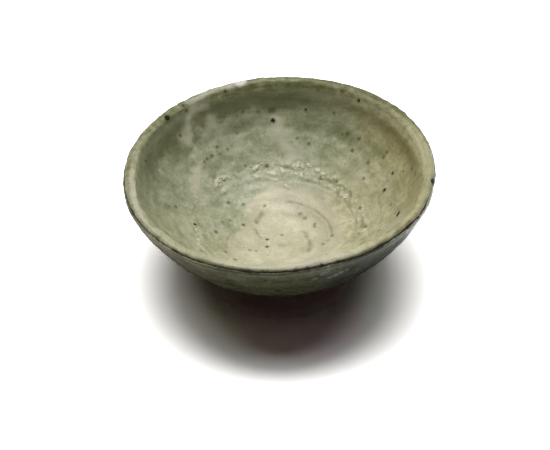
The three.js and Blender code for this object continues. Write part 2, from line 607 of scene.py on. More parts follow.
# colour, roughness and small relief of a finish; the relief is a height from 0 to 1 and its real depth
def finishShader(tree, shader, base, rough, height, depth):
    tree.links.new(base, shader.inputs["Base Color"])
    tree.links.new(rough, shader.inputs["Roughness"])
    bump = newNode(tree, "ShaderNodeBump", {"Height": height, "Distance": depth, "Strength": 1.0})
    tree.links.new(bump.outputs[0], shader.inputs["Normal"])


# glaze inside the bowl and over the crown of its lip; places on the plan in mm, x right and y back
innerLook = {
    "columns": 768,
    "rowStep": 0.6 * mm,
    "spacing": 0.62 * mm,
    "creaseRows": 6,
    "rollRows": 22,
    "throwingStep": 7.2,  # mm between the rings that throwing left
    "throwingDepth": 0.05,
    # lumps of the surface, and how far the marks on it wander: height and size in mm, seed
    "lumps": [(0.12, 16, 24), (0.08, 6, 25), (0.03, 2.6, 26)],
    "wanderX": [(0.8, 9, 81), (0.25, 4, 82)],
    "wanderY": [(0.8, 9, 83), (0.25, 4, 84)],
    "gritRadius": 41.3,  # of the ring of kiln grit
    "burntDepth": 0.55,  # glaze draws in this much at the bare line
    "green": colour(0.42, 0.424, 0.298),
    "buff": colour(0.575, 0.535, 0.355),
    "cream": colour(0.595, 0.56, 0.41),
    "creamBand": colour(0.52, 0.478, 0.345),
    "brown": colour(0.235, 0.20, 0.085),
    "white": colour(0.74, 0.70, 0.62),
    # glaze pooled thick under the lip, with painted shade there
    "pooledShadedGreen": colour(0.10, 0.107, 0.040),
    "pooledShadedBrown": colour(0.185, 0.155, 0.045),
    "milk": colour(0.53, 0.52, 0.385),
    "bead": colour(0.66, 0.635, 0.49),
    # painted shade in the hollows by the kiln grit
    "dark": colour(0.19, 0.205, 0.115),
    "lipPale": colour(0.505, 0.49, 0.34),
    "lipBuff": colour(0.475, 0.44, 0.25),
    # painted shade in the fingers' grooves
    "lipOlive": colour(0.165, 0.17, 0.06),
    "groove": colour(0.20, 0.175, 0.115),
    "stain": colour(0.18, 0.17, 0.075),
    "speck": colour(0.08, 0.078, 0.032),
    "iron": colour(0.012, 0.010, 0.006),
    "burnt": colour(0.03, 0.022, 0.012),
    # what multiplies the colour in clouds, on the wall, on the floor and on the lip
    "cloudTint": colour(0.79, 0.805, 0.75),
    "mottleTint": colour(0.84, 0.85, 0.81),
    "brushTint": colour(0.92, 0.93, 0.90),
    "curdleTint": colour(0.86, 0.88, 0.83),
    "grainTint": colour(0.85, 0.87, 0.82),
    "shelfTint": colour(1.13, 1.14, 1.16),
    "lowWallTint": colour(1.13, 1.11, 1.15),
    # tints for the floor's darker and paler patches: some of the dark is painted shade, and the pale behind
    # the middle is a painted highlight
    "floorShade": colour(0.77, 0.81, 0.73),
    "floorPaleAndHighlightTint": colour(1.25, 1.24, 1.24),
    "streakTint": colour(1.10, 1.10, 1.10),
    "thickTint": colour(0.62, 0.66, 0.55),
    "sunnyTint": colour(1.0, 0.98, 0.84),
    "lipInnerTint": colour(1.22, 1.22, 1.20),
    "lipWhiteTint": colour(1.14, 1.12, 1.24),
    "crownTint": colour(0.72, 0.75, 0.63),
    "roughness": 0.42,
    "gloss": 0.32,
    "bumpDepth": 0.07 * mm,
    # around the bowl: degrees, how warm its glaze is, how thick and how much shade is painted under the lip,
    # and how pale on the lip, degrees up the lip's roll where this paleness begins, and mm from the axis to
    # the lip's inner edge
    "around": [
        (-120, 0.8, 0.1, 0.75, 62, 72.8), (-90, 0.95, 0.1, 0.7, 50, 73.6), (-60, 1.1, 0.05, 0.5, 40, 73.6),
        (-30, 1.2, 0.1, 0.6, 40, 73.4), (-14, 1.2, 0.35, 0.75, 66, 70.6), (0, 1.2, 0.45, 0.95, 64, 68.8),
        (10, 1.15, 0.5, 0.95, 80, 68.4), (20, 1.1, 0.55, 0.8, 98, 68.2), (30, 0.95, 0.55, 0.7, 112, 68.0),
        (40, 0.7, 0.55, 0.65, 120, 67.7), (50, 0.45, 0.5, 0.55, 122, 68.2), (60, 0.3, 0.5, 0.5, 112, 68.8),
        (75, 0.2, 0.8, 0.15, 110, 69.0), (90, 0.15, 1.0, 0.3, 75, 68.0), (105, 0.08, 1.0, 0.35, 60, 68.2),
        (120, 0.05, 0.9, 0.35, 60, 68.0), (135, 0.0, 0.8, 0.35, 84, 69.0), (150, 0.0, 0.8, 0.4, 88, 69.4),
        (165, 0.0, 0.8, 0.5, 64, 69.1), (180, 0.1, 0.55, 0.75, 100, 68.3), (195, 0.3, 0.35, 0.95, 84, 69.2),
        (210, 0.45, 0.15, 0.95, 72, 71.4), (225, 0.6, 0.15, 0.9, 70, 72.0),
    ],
    # x, y and radius of the iron spots that came through black
    "spots": [
        (-56.2, 41.2, 1.7), (-2.8, 59.7, 1.35), (41.6, 54.7, 1.05), (53.2, 9.6, 1.15), (57.5, -16.8, 1.6),
        (57.2, 15.3, 0.9), (-5.5, -1.6, 0.85), (-5.5, -7.7, 0.85), (-41.4, -4.2, 0.95), (-27.8, 63.8, 0.6),
        (-48.8, 50.8, 0.7), (14.6, 61.8, 0.8),
    ],
    # x, y and radius of the ones that stained the glaze olive
    "freckles": [
        (33, 60.8, 0.9), (21, 65.5, 0.8), (15.5, 68.5, 0.8), (-27.8, 58, 1.0), (-18.8, 60.5, 0.8),
        (-47.2, 50.0, 0.7), (-50.2, 39.8, 1.0), (55, -3, 0.6), (53.2, 27.5, 1.0), (54.6, 28.2, 0.8),
        (46, 30.3, 0.9), (65.2, 6.2, 0.9), (41.2, 8.2, 0.8), (38.3, 40, 0.8), (36, 47.5, 1.0),
        (33.4, 48.5, 0.6), (41.5, 43, 0.8), (-6, 42, 1.0), (22.1, 33.2, 0.9), (30, 29.3, 0.8),
        (2, 2, 0.5), (-31, -3.2, 0.9), (-25.5, 19, 0.9), (-24.5, 8, 0.5), (-28, 5.5, 0.5),
        (-17.5, 7, 0.9), (-18, 20, 0.7), (11.4, 15.4, 0.9), (13.8, 12.5, 0.9), (18.5, 7.5, 0.6),
        (18.5, 5.7, 0.5), (27, -4.3, 0.7), (22.5, -9, 0.6), (11.7, -24.5, 0.9), (-20.8, -23.7, 0.9),
        (-36.5, -27, 1.0), (-25.8, -18, 0.8), (-14, -12, 0.6), (-11, -12, 0.5), (-51, 1, 0.8),
        (-54, -2, 0.5), (-26.5, 45.4, 0.6), (16, 50, 0.8), (10, 53, 0.6), (29, 57, 0.7),
        (30, 29.5, 0.8), (-34.5, 39.8, 0.8), (-36.8, 37.5, 0.6), (-65.5, 13.5, 1.0), (43, -7.5, 0.7),
        (-7, 21, 0.6), (-32, 44.5, 0.7), (43.5, 24, 0.6), (-30.5, 42, 0.6), (-38, 35.5, 0.6),
    ],
    # milky runs of glaze: half width, strength and the points they pass
    "milkRuns": [
        (2.6, 0.7, [(-25, 68), (-33, 64), (-39, 60)]),
        (3.0, 0.65, [(-38.5, 58.5), (-42.5, 55), (-45, 51.5)]),
        (2.9, 0.7, [(-45, 51.5), (-45.5, 47), (-47, 43.5), (-48.5, 39.5)]),
        (2.4, 0.6, [(-42.5, 38.5), (-41, 31)]),
        (2.8, 1.1, [(-41.3, 29), (-42, 24), (-43, 19)]),
        (3.0, 1.0, [(-1, 58.5), (0.5, 57.2), (2.5, 54)]),
        (3.6, 1.1, [(2.5, 54), (4.5, 50), (6.5, 46.5)]),
        (2.6, 0.5, [(-38.5, 30), (-38, 24), (-40, 14)]),
    ],
    # soft patches: x, y, reach around the bowl, reach across and strength
    "whitePatches": [(-20.5, 70.0, 3.8, 3.1, 1.0)],
    "darkPatches": [
        (-20, 56, 10, 2.6, 0.7), (-30, 58.5, 6, 2, 0.5), (-42, 43.5, 4, 3, 0.8), (-52, 33.5, 7, 4, 0.7),
        (-61, 14, 9, 2.5, 0.6), (14, 57.5, 9, 3, 0.8), (30, 52.5, 8, 3.2, 0.5), (37, 46, 8, 3.5, 0.7),
        (48, 36, 7, 3.5, 0.5), (-33, 31, 4, 3, 0.6), (-36, 38, 3, 2.5, 0.6), (-58, 28, 8, 2, 0.6),
        (-50, 9, 4, 3, 0.4), (-21, 35.5, 5, 2, 0.4), (6, 41, 3, 1.6, 0.6), (27, 29, 6, 1.6, 0.4),
        (-58, -6, 7, 3, 0.3), (-46, 2, 5, 2, 0.3), (-29, 8, 4, 5, 0.3), (-34, -12, 5, 3, 0.3),
        (37, 19.5, 5, 1.6, 0.9), (31, 20, 6, 3, 0.6), (-31, 18, 6, 4, 0.6), (12, 34.2, 4, 1.6, 0.5),
        (52, 30, 8, 2.5, 0.5), (-60, 2, 10, 3, 0.4), (-52, 30, 8, 3, 0.3), (1, 36.5, 8, 2.5, 0.35),
    ],
    "palePatches": [
        (-14, 61, 5, 1.8, 0.5), (-35, 53.3, 4.5, 2, 0.75), (1.5, 54, 8, 3.4, 0.8),
        (12, 47.5, 8, 3, 0.45), (-20, 48.5, 9, 2.6, 0.45), (-40, 14.5, 4, 2.5, 0.6),
        (-58.5, 16.5, 1.5, 1.2, 0.8),
        (-44, -9, 7, 3, 0.5), (-53, -8, 8, 4, 0.35), (30, 36, 5, 3, 0.4), (38, 27, 5, 4, 0.35),
        (20, 43, 7, 2.5, 0.35), (-57, 4, 3, 3, 0.3), (47, 46.5, 2, 1.6, 0.3), (-9, 38, 6, 1.5, 0.4),
        (43, 25, 7, 5, 0.5), (54, -31, 16, 7, 0.9), (-41, -21, 9, 5, 0.5), (-46, -3, 6, 4, 0.3),
    ],
    "brownPatches": [
        (-40, 51, 4, 2, 0.5), (24, 63.3, 8, 1.8, 0.7), (38, 56, 8, 1.8, 0.8), (50, 45.5, 8, 2, 0.8),
        (59, 32, 8, 2.2, 0.9), (65, 18, 8, 2, 0.9), (67.5, 4, 8, 1.6, 0.8), (-33, 60, 5, 1.4, 0.5),
        (67, -10, 8, 1.5, 0.5), (43, 48, 5, 2, 0.5),
    ],
    # paler patches on the floor; those a little behind the middle are a painted highlight of the lamp
    "floorPaleAndHighlight": [
        (0, 20.6, 7, 1.6, 1.2), (-3.2, 23.6, 3, 1.2, 1.2), (-1.8, 29.2, 5, 1.8, 1.0), (-8.2, 22, 3, 2, 0.8),
        (-15.5, 16.5, 1.6, 1.3, 0.9), (-12.5, 21, 3, 1.3, 0.9), (-9.2, 25, 3, 1.4, 1.0),
        (-6, 27, 3, 1.4, 1.0), (-16.5, 12.5, 1.6, 1.3, 0.6),
        (9, 5, 3, 2, 0.4), (-5, -4.7, 2, 1.4, 0.7), (17.5, 0, 3, 1.5, 0.6), (18.5, -9, 1.8, 1.2, 0.7),
        (3, 9, 4, 3, 0.4), (-9, -20, 6, 4, 0.4), (8, -20, 4, 3, 0.4), (-18, 3, 2, 2, 0.5),
    ],
    # darker patches on the floor; the strongest, right of the middle, is painted shade beside a finger mark
    "floorDarkAndShade": [
        (9.5, 14.5, 4, 2, 0.3), (14, 13, 3, 1.6, 0.3), (2.5, -4.6, 3, 1.5, 0.6), (4, 17, 3, 1.5, 0.5),
        (-2, -24, 12, 6, 0.4), (12, -24, 8, 6, 0.4), (-7, -4, 4, 4, 0.6), (-16, 5, 6, 4, 0.5),
        (15.6, -9, 6, 4, 0.3),
        (-14, 14.5, 3, 1.5, 0.5), (22, 8, 4, 2, 0.4), (30, 16, 6, 3, 0.5), (24, 24, 5, 2.5, 0.3),
        (-20, -8, 5, 3, 0.4), (8, -12, 4, 3, 0.4), (-4, 3, 3, 3, 0.3), (-12, -10, 3, 3, 0.3),
        (12, 31, 7, 1.5, 0.5), (24, -16, 5, 3, 0.4), (-2, -14, 4, 2, 0.3), (15.8, -8, 5, 2.2, 0.9),
    ],
    "speckled": (38, 46, 9),  # x, y and radius of a place full of fine specks
    # ridges around the kiln grit: half width, height and the points they pass
    "gritRidges": [
        (0.8, 0.35, [(1.5, 39.2), (2.0, 42.0), (4.0, 43.8), (6.8, 43.8)]),
        (0.8, 0.35, [(2.0, 39.0), (5.2, 38.0), (8.2, 37.8), (10.8, 38.5)]),
        (0.8, 0.3, [(25.8, 33.5), (29.0, 31.8)]),
        (0.8, 0.4, [(30.2, 29.2), (32.2, 26.5), (34.8, 23.5)]),
        (0.9, 0.35, [(24.8, 28.8), (27.8, 26.5), (31.2, 23.5)]),
        (1.3, 0.4, [(32.2, 20.8), (34.5, 18.0)]),
        (0.7, 0.25, [(18.2, 33.5), (21.8, 31.2)]),
        (1.0, 0.35, [(-12.2, 40.2), (-10.5, 40.5)]),
        (1.0, 0.4, [(-12.0, 36.0), (-9.5, 36.5)]),
        (0.8, 0.3, [(-3.8, 34.8), (-0.5, 35.2)]),
        (0.7, 0.25, [(3.5, 32.2), (5.2, 32.2)]),
        (0.9, 0.45, [(-32.0, 26.0), (-31.0, 28.0), (-29.5, 30.5), (-26.0, 31.8)]),
        (0.8, 0.3, [(-35.8, 23.5), (-35.5, 25.8), (-34.5, 27.8)]),
        (1.0, 0.3, [(-28.2, 23.8), (-26.8, 24.8)]),
        (0.9, 0.3, [(-42.5, 13.8), (-40.8, 15.8)]),
        (0.7, 0.4, [(-40.2, -9.5), (-39.4, -14.0), (-38.0, -18.5)]),
        (0.7, 0.4, [(-37.2, -21.0), (-34.8, -25.2), (-31.5, -29.0)]),
        (0.6, 0.3, [(-38.0, -11.5), (-36.8, -17.0)]),
        (0.9, 0.3, [(-41.5, 11.0), (-38.2, 14.2)]),
        (0.7, 0.3, [(-40.0, -7.5), (-39.0, -10.2)]),
        (0.7, 0.5, [(-39.2, -19.2), (-37.8, -21.2), (-36.8, -23.8)]),
        (0.7, 0.5, [(-36.5, -28.0), (-34.0, -31.2), (-31.0, -34.0)]),
        (0.7, 0.5, [(-35.8, -24.5), (-33.2, -26.8), (-30.4, -29.4)]),
        (0.7, 0.45, [(39.8, 2.2), (39.8, -1.5), (39.5, -5.5)]),
        (0.7, 0.45, [(39.5, -6.2), (40.0, -10.2)]),
        (0.6, 0.35, [(41.5, 2.5), (43.2, 1.0)]),
        (0.8, 0.4, [(42.5, -2.2), (43.5, -6.0)]),
        (0.7, 0.2, [(47.2, 12.8), (49.2, 12.8)]),
        (0.6, 0.2, [(52.2, 7.5), (52.5, 1.8)]),
        (0.7, 0.25, [(36.0, -18.5), (38.0, -20.2)]),
        (0.8, 0.2, [(-3.8, 38.0), (-1.2, 38.5)]),
    ],
    # hollows between them: half width, depth and the points they pass
    "gritHollows": [
        (1.4, 0.3, [(5.0, 41.2), (6.0, 40.8)]),
        (1.4, 0.25, [(-33.0, 24.8), (-29.5, 25.5)]),
        (1.3, 0.25, [(26.8, 30.2), (32.8, 23.8)]),
        (1.1, 0.2, [(-23.5, 33.8), (-19.8, 33.8)]),
        (1.0, 0.25, [(-41.0, -9.0), (-39.6, -16.0)]),
        (0.8, 0.3, [(-35.6, -26.4), (-32.0, -30.4)]),
        (0.9, 0.3, [(41.2, -0.6), (41.4, -7.0)]),
        (1.0, 0.2, [(36.2, 20.5), (37.0, 16.5)]),
        (1.2, 0.15, [(-37.5, 8.5), (-36.5, 12.0)]),
    ],
    # edge of the pale floor: degrees around, distance from the axis and how softly it ends
    "creamEdge": [
        (-120, 35, 7), (-90, 37, 9), (-60, 37, 10), (-30, 34, 10), (0, 31, 10), (40, 33, 8), (70, 34, 4),
        (93, 31.8, 1.8), (104, 29.9, 1.5), (115, 28.0, 1.4), (129, 25.3, 1.4), (139, 23.3, 1.5), (153, 20, 2),
        (171, 19.5, 2.5), (185, 23, 3), (197, 26.7, 3.5), (209, 29, 5),
    ],
    # marks of the fingers: from degrees and distance, to degrees and distance, depth and width
    "fingerMarks": [
        (86, 24.0, 30, 24.9, 0.28, 0.6),
        (46, 24.4, -14, 27.4, 0.28, 0.6),
        (142, 14.5, 111, 18.6, 0.42, 1.4),
        (190, 7.4, 149, 12.9, 0.28, 0.9),
        (-28, 8.2, -100, 5.7, 0.14, 1.5),
        (22, 13.0, -16, 15.7, 0.22, 0.9),
        (-3, 14.4, -47, 20.6, 0.34, 0.9),
        (213, 29.5, 184, 24, 0.18, 0.6),
        (78, 36.2, -14, 38.6, 0.16, 0.7),
        (150, 36.0, 92, 35.0, 0.08, 1.0),
        (84, 16.5, 40, 18.0, 0.06, 1.5),
    ],
    # beads of molten grit under the glaze: x, y, radius and height
    "beads": [
        (8.9, 41.4, 1.1, 0.45), (10.8, 41.3, 1.0, 0.45), (13.2, 40.2, 0.8, 0.35), (15.5, 40.2, 0.8, 0.3),
        (20.0, 38.2, 0.95, 0.45), (23.0, 35.5, 1.25, 0.5), (23.6, 33.5, 0.8, 0.35), (28.0, 32.5, 1.0, 0.3),
        (-11.2, 40.2, 1.1, 0.4), (-11.2, 36.2, 1.25, 0.45), (-3.5, 38.0, 1.3, 0.3), (2.2, 39.2, 1.2, 0.35),
        (4.5, 32.2, 0.8, 0.25), (11.0, 37.0, 1.2, 0.3), (-28.0, 24.5, 1.2, 0.35), (33.8, 19.2, 1.6, 0.45),
        (31.6, 21.4, 1.0, 0.3), (40.0, 0.5, 0.9, 0.4), (42.8, 1.2, 0.8, 0.3), (42.0, -9.2, 1.2, 0.4),
        (40.5, 6.0, 1.0, 0.25), (37.5, -20.8, 0.9, 0.45), (28.0, -7.8, 0.7, 0.35), (34.0, -24.5, 0.8, 0.4),
        (-31.6, 27.4, 1.0, 0.4), (-27.6, 31.6, 1.1, 0.4), (-25.2, 32.0, 0.9, 0.35), (-33.8, -30.6, 0.8, 0.35),
        (-40.0, -7.6, 0.9, 0.4), (-38.6, -16.4, 0.9, 0.4), (-36.0, -23.0, 0.8, 0.4),
        (-35.8, -26.4, 0.8, 0.35),
    ],
    "ringPit": (38.5, -12, 1.35),  # x, y and radius of a pit with a raised edge
}


# distance in mm from places on the plan to a run of points
def runDistance(x, y, run):
    nearest = np.full(len(x), 1e3)
    for (ax, ay), (bx, by) in zip(run, run[1:]):
        length = (bx - ax) ** 2 + (by - ay) ** 2
        share = np.clip(((x - ax) * (bx - ax) + (y - ay) * (by - ay)) / length, 0, 1)
        nearest = np.minimum(nearest, np.hypot(x - ax - share * (bx - ax), y - ay - share * (by - ay)))
    return nearest


# distance in mm to the edge of the nearest large iron spot, negative inside it
def spotDistance(points, spots):
    nearest = np.full(len(points), 6.0)
    for x, y, radius in spots:
        middle = thrown(onInnerFace(np.float64(x), np.float64(y))[None] * mm)[0] / mm
        nearest = np.minimum(nearest, np.linalg.norm(points - middle, axis=1) - radius)
    return nearest


# the fingers' grooves: how much shade is painted at each place, and its relief in mm
def fingerGrooves(r, theta, marks):
    dark = np.zeros_like(r)
    relief = np.zeros_like(r)
    for fromDegrees, fromRadius, toDegrees, toRadius, depth, width in marks:
        middle = (fromDegrees + toDegrees) / 2
        half = math.radians(abs(fromDegrees - toDegrees) / 2)
        turn = turnBetween(theta, middle) / half * math.copysign(1, fromDegrees - toDegrees)
        track = (fromRadius + toRadius) / 2 + (fromRadius - toRadius) / 2 * np.clip(turn, -1, 1)
        ends = smooth(1.0, 0.7, np.abs(turn))
        groove = bulge(r - track, width) * ends
        ridge = bulge(r - track + 2.2 * width, 1.5 * width) * ends
        relief += depth * (0.8 * ridge - 1.2 * groove)
        # painted shade, deepest where the groove is deepest
        dark = np.maximum(dark, groove * depth / 0.3)
    return dark, relief


# soft patches drawn out along the wheel's turn
def patched(x, y, patches):
    total = np.zeros_like(x)
    r = np.hypot(x, y)
    theta = np.arctan2(y, x)
    for px, py, along, across, strength in patches:
        middle = math.hypot(px, py)
        beside = turnBetween(theta, math.degrees(math.atan2(py, px))) * middle
        total += strength * bulge(beside, along) * bulge(r - middle, across)
    return total


# ridges or hollows along runs of points: how clear each place is, and its relief in mm
def strokes(x, y, runs, broken):
    clear = np.zeros_like(x)
    relief = np.zeros_like(x)
    for width, height, run in runs:
        swell = bulge(runDistance(x, y, run), width) * broken
        clear = np.maximum(clear, swell * height / 0.4)
        relief = np.maximum(relief, swell * height)
    return clear, relief


# round beads: how clear each place is, the hollow around each bead, where shade is painted too, and their
# relief in mm
def beaded(x, y, beads):
    clear = np.zeros_like(x)
    around = np.zeros_like(x)
    relief = np.zeros_like(x)
    for beadX, beadY, radius, height in beads:
        away = np.hypot(x - beadX, y - beadY) / radius
        clear = np.maximum(clear, bulge(away, 1, 4))
        # the hollow around a bead, also painted darker as shade
        around = np.maximum(around, bulge(away - 1.6, 0.45))
        relief = np.maximum(relief, height * np.sqrt(np.clip(1 - (away / 1.3) ** 2, 0, 1)))
    return clear, around, relief


# where each point of the inner glaze lies: in mm on the plan, along the section and from the glaze's end
def innerPlaces(rings):
    look = innerLook
    flat = thrown(ringPoints(rings)) / mm
    x, y, _ = flat.T
    r = np.hypot(x, y)
    angle, theta = rings["angle"], rings["theta"]
    onRoll = rings["radius"] == roll
    onCrease = rings["radius"] == bowlShape["creaseRadius"]
    upRoll = wallLength + creaseLength + roll * (rollStart - angle)
    upCrease = wallLength + bowlShape["creaseRadius"] * (angle - innerEnd)
    upWall = innerRadius * (angle - straightDown)
    return {
        "flat": flat,
        "x": x,
        "y": y,
        "moved": (x + layered(flat, look["wanderX"]), y + layered(flat, look["wanderY"])),
        "r": r,
        "ragged": r + layered(flat, [(0.5, 7, 29), (0.25, 2.5, 30)]),
        "theta": theta,
        "angle": angle,
        "onRoll": onRoll,
        "along": np.where(onRoll, upRoll, np.where(onCrease, upCrease, upWall)) / mm,
        "toEdge": np.where(onRoll, roll * (angle - innerStop(theta)), 1.0) / mm,
        "inFront": near(theta, -80, 68, 4),
    }


# glaze runs from thick and dark under the lip, with shade painted there and in the crease, to thin and pale
# on it
def lipFields(place):
    r, theta, angle, onRoll = [place[key] for key in ("r", "theta", "angle", "onRoll")]
    degrees, warmth, thick, pale, paleFrom, lipFrom = np.array(innerLook["around"]).T
    pastEdge = r - aroundBowl(theta, degrees, lipFrom)
    poolAndShade = 0.3 * smooth(50, 61, r) + 0.7 * smooth(62.0, 64.2, place["ragged"]) - 0.25 * smooth(66, 68.5, r)
    begins = np.radians(aroundBowl(theta, degrees, paleFrom))
    edgeShare = 0.5 - 0.4 * near(theta, 48, 34)  # paleness left outside
    upRoll = edgeShare + (1 - edgeShare) * smooth(begins - 0.25, begins + 0.25, angle)
    paleness = aroundBowl(theta, degrees, pale)
    innerSide = np.where(onRoll, smooth(math.radians(95), math.radians(145), angle), 1)
    return {
        "warm": aroundBowl(theta, degrees, warmth),
        "poolAndShade": poolAndShade * aroundBowl(theta, degrees, thick),
        "onLip": smooth(-0.7, 0.7, pastEdge),
        # thin painted shade in the crease
        "creaseShadeLine": bulge(pastEdge + 1.2, 0.5) * near(theta, 32, 25, 4),  # thin, at the back on the right
        "lipPale": paleness * np.where(onRoll, upRoll, 1),
        "lipInner": innerSide * smooth(0.45, 0.85, paleness),
        "lipWarm": 0.65 * near(theta, 8, 58, 4) + 0.35 * place["inFront"],
        "lipWhite": near(theta, 206, 24),
        "burntLip": burntShare(theta),
        "toEdge": place["toEdge"],
    }


# pale floor, milky runs, thick and brown places, finger marks and iron, and their relief in mm
def wallFields(place):
    look = innerLook
    flat, x, y, r, theta, moved = [place[key] for key in ("flat", "x", "y", "r", "theta", "moved")]
    degrees, distance, softness = np.array(look["creamEdge"]).T
    reach = aroundBowl(theta, degrees, distance) + 0.4 * lumps(flat, 7, 21)
    cream = smooth(-1, 1, (reach - r) / aroundBowl(theta, degrees, softness))
    creamInFront = 0.9 * smooth(66, 70, r) * near(theta, -88, 32, 4)
    milk = patched(*moved, look["palePatches"])
    for width, strength, run in look["milkRuns"]:
        milk = np.maximum(milk, strength * bulge(runDistance(*moved, run), width))
    white = patched(x, y, look["whitePatches"])
    floorTone = patched(*moved, look["floorPaleAndHighlight"]) - patched(*moved, look["floorDarkAndShade"])
    grooveShade, relief = fingerGrooves(r, theta, look["fingerMarks"])
    spots = spotDistance(flat, look["spots"])
    speckX, speckY, speckReach = look["speckled"]
    relief += 0.10 * milk + 0.08 * floorTone + 0.15 * white
    relief += 0.22 * bulge(spots + 0.3, 0.8) * (spots < 2)
    fields = {
        "cream": np.maximum(cream, creamInFront),
        "creamBand": smooth(16, 22, r) * smooth(-1.1, 0.2, np.sin(theta)) * smooth(40, 34, r),
        "floorTone": floorTone,
        "milk": milk,
        "white": white,
        "groove": grooveShade * np.clip(0.95 + 0.25 * lumps(flat, 5, 87), 0.4, 1.3),
        "lowWall": smooth(56, 34, r),
        "highWall": smooth(54, 64, r) * near(theta, 3, 56, 4),
        "shelf": smooth(58.0, 56.4, place["ragged"]) * near(theta, 100, 58, 4),
        "thickened": patched(*moved, look["darkPatches"]),
        "browned": patched(*moved, look["brownPatches"]),
        "spots": spots,
        "freckles": spotDistance(flat, look["freckles"]),
        "speckled": bulge(np.hypot(x - speckX, y - speckY), speckReach),
    }
    return fields, relief


# ridges, hollows and beads around the kiln grit and the ring pit, with shade painted in the hollows, and
# their relief in mm
def gritFields(place):
    look = innerLook
    flat, moved = place["flat"], place["moved"]
    inRing = smooth(4.5, 1.5, np.abs(place["r"] - look["gritRadius"]))
    grit = inRing * np.clip(0.55 + 0.5 * lumps(flat, 12, 22), 0, 1)
    broken = np.clip(0.6 + layered(flat, [(0.6, 2.4, 85), (0.3, 5, 86)]), 0, 1.4)
    ridges, ridgeRelief = strokes(*moved, look["gritRidges"], broken)
    hollowShade, hollowRelief = strokes(*moved, look["gritHollows"], 1.0)
    beads, besideBeads, beadRelief = beaded(*moved, look["beads"])
    pitX, pitY, pitRadius = look["ringPit"]
    fromPit = np.hypot(place["x"] - pitX, place["y"] - pitY)
    pitRim = bulge(fromPit - pitRadius, 0.45)
    relief = 0.10 * grit * lumps(flat, 2.2, 27) - hollowRelief
    relief += np.maximum(ridgeRelief, beadRelief) - 0.12 * besideBeads
    relief += 0.25 * bulge(fromPit - 1.6 * pitRadius, 0.5) - 0.3 * pitRim
    fields = {
        "grit": grit,
        "ridges": np.maximum(ridges, 0.5 * bulge(fromPit, 0.5 * pitRadius)),
        # painted shade in the hollows, round the pit and beside the beads
        "hollowShade": np.maximum(np.maximum(hollowShade, 0.8 * pitRim), 0.3 * besideBeads),
        "beads": beads,
    }
    return fields, relief


# throwing rings, lumps, the step under the thick glaze and the swollen lip, in mm
def innerRelief(place):
    look = innerLook
    flat, r, theta, along, onRoll = [place[key] for key in ("flat", "r", "theta", "along", "onRoll")]
    turns = fullTurn * (along / look["throwingStep"] - theta / fullTurn)
    relief = np.sin(turns + 0.9 * aroundNoise(theta, 23, 1, 4)) * (1 + 0.7 * lumps(flat, 25, 20))
    relief *= look["throwingDepth"] * smooth(26, 36, along) * smooth(84, 76, along)
    relief += layered(flat, look["lumps"])
    relief += 0.10 * smooth(58.0, 56.4, place["ragged"]) * smooth(40, 56, r)
    broad = near(theta, 12, 38)  # lip is broadest on the right
    behind = 1 - place["inFront"]  # and swells inward but not in front
    relief += (0.3 + 0.8 * broad) * behind * bulge(r - 67.9, 1.9)
    relief -= (0.1 + 0.25 * broad) * behind * bulge(r - 70.4, 0.9) * onRoll
    relief += onRoll * 0.07 * lumps(flat, 5, 28)
    return relief - onRoll * look["burntDepth"] * withinEdge(place["toEdge"], 0.35)


def makeInnerGlaze():
    look = innerLook
    glaze, spacing = bowlShape["glaze"], look["spacing"]
    rows = sweep(innerWall, straightDown, innerEnd, round(wallLength / look["rowStep"]), 0, spacing)
    rows += sweep(lipCrease, innerEnd, creaseEnd, look["creaseRows"], 0, spacing, 1)
    rows += sweep(lipRoll, rollStart, innerStop, look["rollRows"], 0, spacing, 1)
    front = len(rows) - 1
    rows += sweep(lipRoll, innerStop, rollStart, 5, glaze, hiddenSpacing)
    rows += sweep(lipCrease, creaseEnd, innerEnd, 2, glaze, hiddenSpacing, 1)
    rows += sweep(innerWall, innerEnd, straightDown, 24, glaze, hiddenSpacing, 1)
    rings = layRings(rows, look["columns"])
    place = innerPlaces(rings)
    wall, wallRelief = wallFields(place)
    grit, gritRelief = gritFields(place)
    relief = innerRelief(place) + wallRelief + gritRelief
    relief = np.where(rings["row"] <= front, relief, 0) * mm
    points = thrown(ringPoints(rings, relief))
    discs = [(0, front, *largeDisc), (front, len(rows) - 1, *smallDisc)]
    return ringMesh("inner_glaze_coat", rings, points, discs, {**lipFields(place), **wall, **grit})


# grey green, warmer and paler to the right and in front, pale in the middle of the floor
def innerWallColour(tree, warm, fine, small, brushed):
    look = innerLook
    base = mixColour(tree, warm, look["green"], look["buff"])
    base = tinted(tree, fade(tree, fine["Clouds"], 0.56, 0.36), base, look["cloudTint"])
    base = tinted(tree, fade(tree, small["Clouds"], 0.60, 0.38), base, look["mottleTint"])
    base = tinted(tree, fade(tree, brushed, 0.60, 0.40), base, look["brushTint"])
    base = tinted(tree, fade(tree, fine["Curdle"], 0.56, 0.38), base, look["curdleTint"])
    base = tinted(tree, field(tree, "shelf"), base, look["shelfTint"])
    base = tinted(tree, field(tree, "lowWall"), base, look["lowWallTint"])

    # pale floor, a little pinker in the broad band that a finger drew
    floor = mixColour(tree, field(tree, "creamBand"), look["cream"], look["creamBand"])
    tone = mottled(tree, field(tree, "floorTone"), fine["Clouds"], 1.4)
    tone = mottled(tree, tone, small["Curdle"], 0.6)
    # darker patches, one of them painted shade by a finger mark, and paler ones, behind the middle a painted
    # highlight
    floor = tinted(tree, fade(tree, tone, 0.15, -0.8), floor, look["floorShade"])
    floor = tinted(tree, fade(tree, tone, -0.1, 0.9), floor, look["floorPaleAndHighlightTint"])
    pale = mottled(tree, field(tree, "cream"), small["Clouds"], 0.5)
    return laid(tree, fade(tree, pale, 0.1, 0.9), 0.9, base, floor)
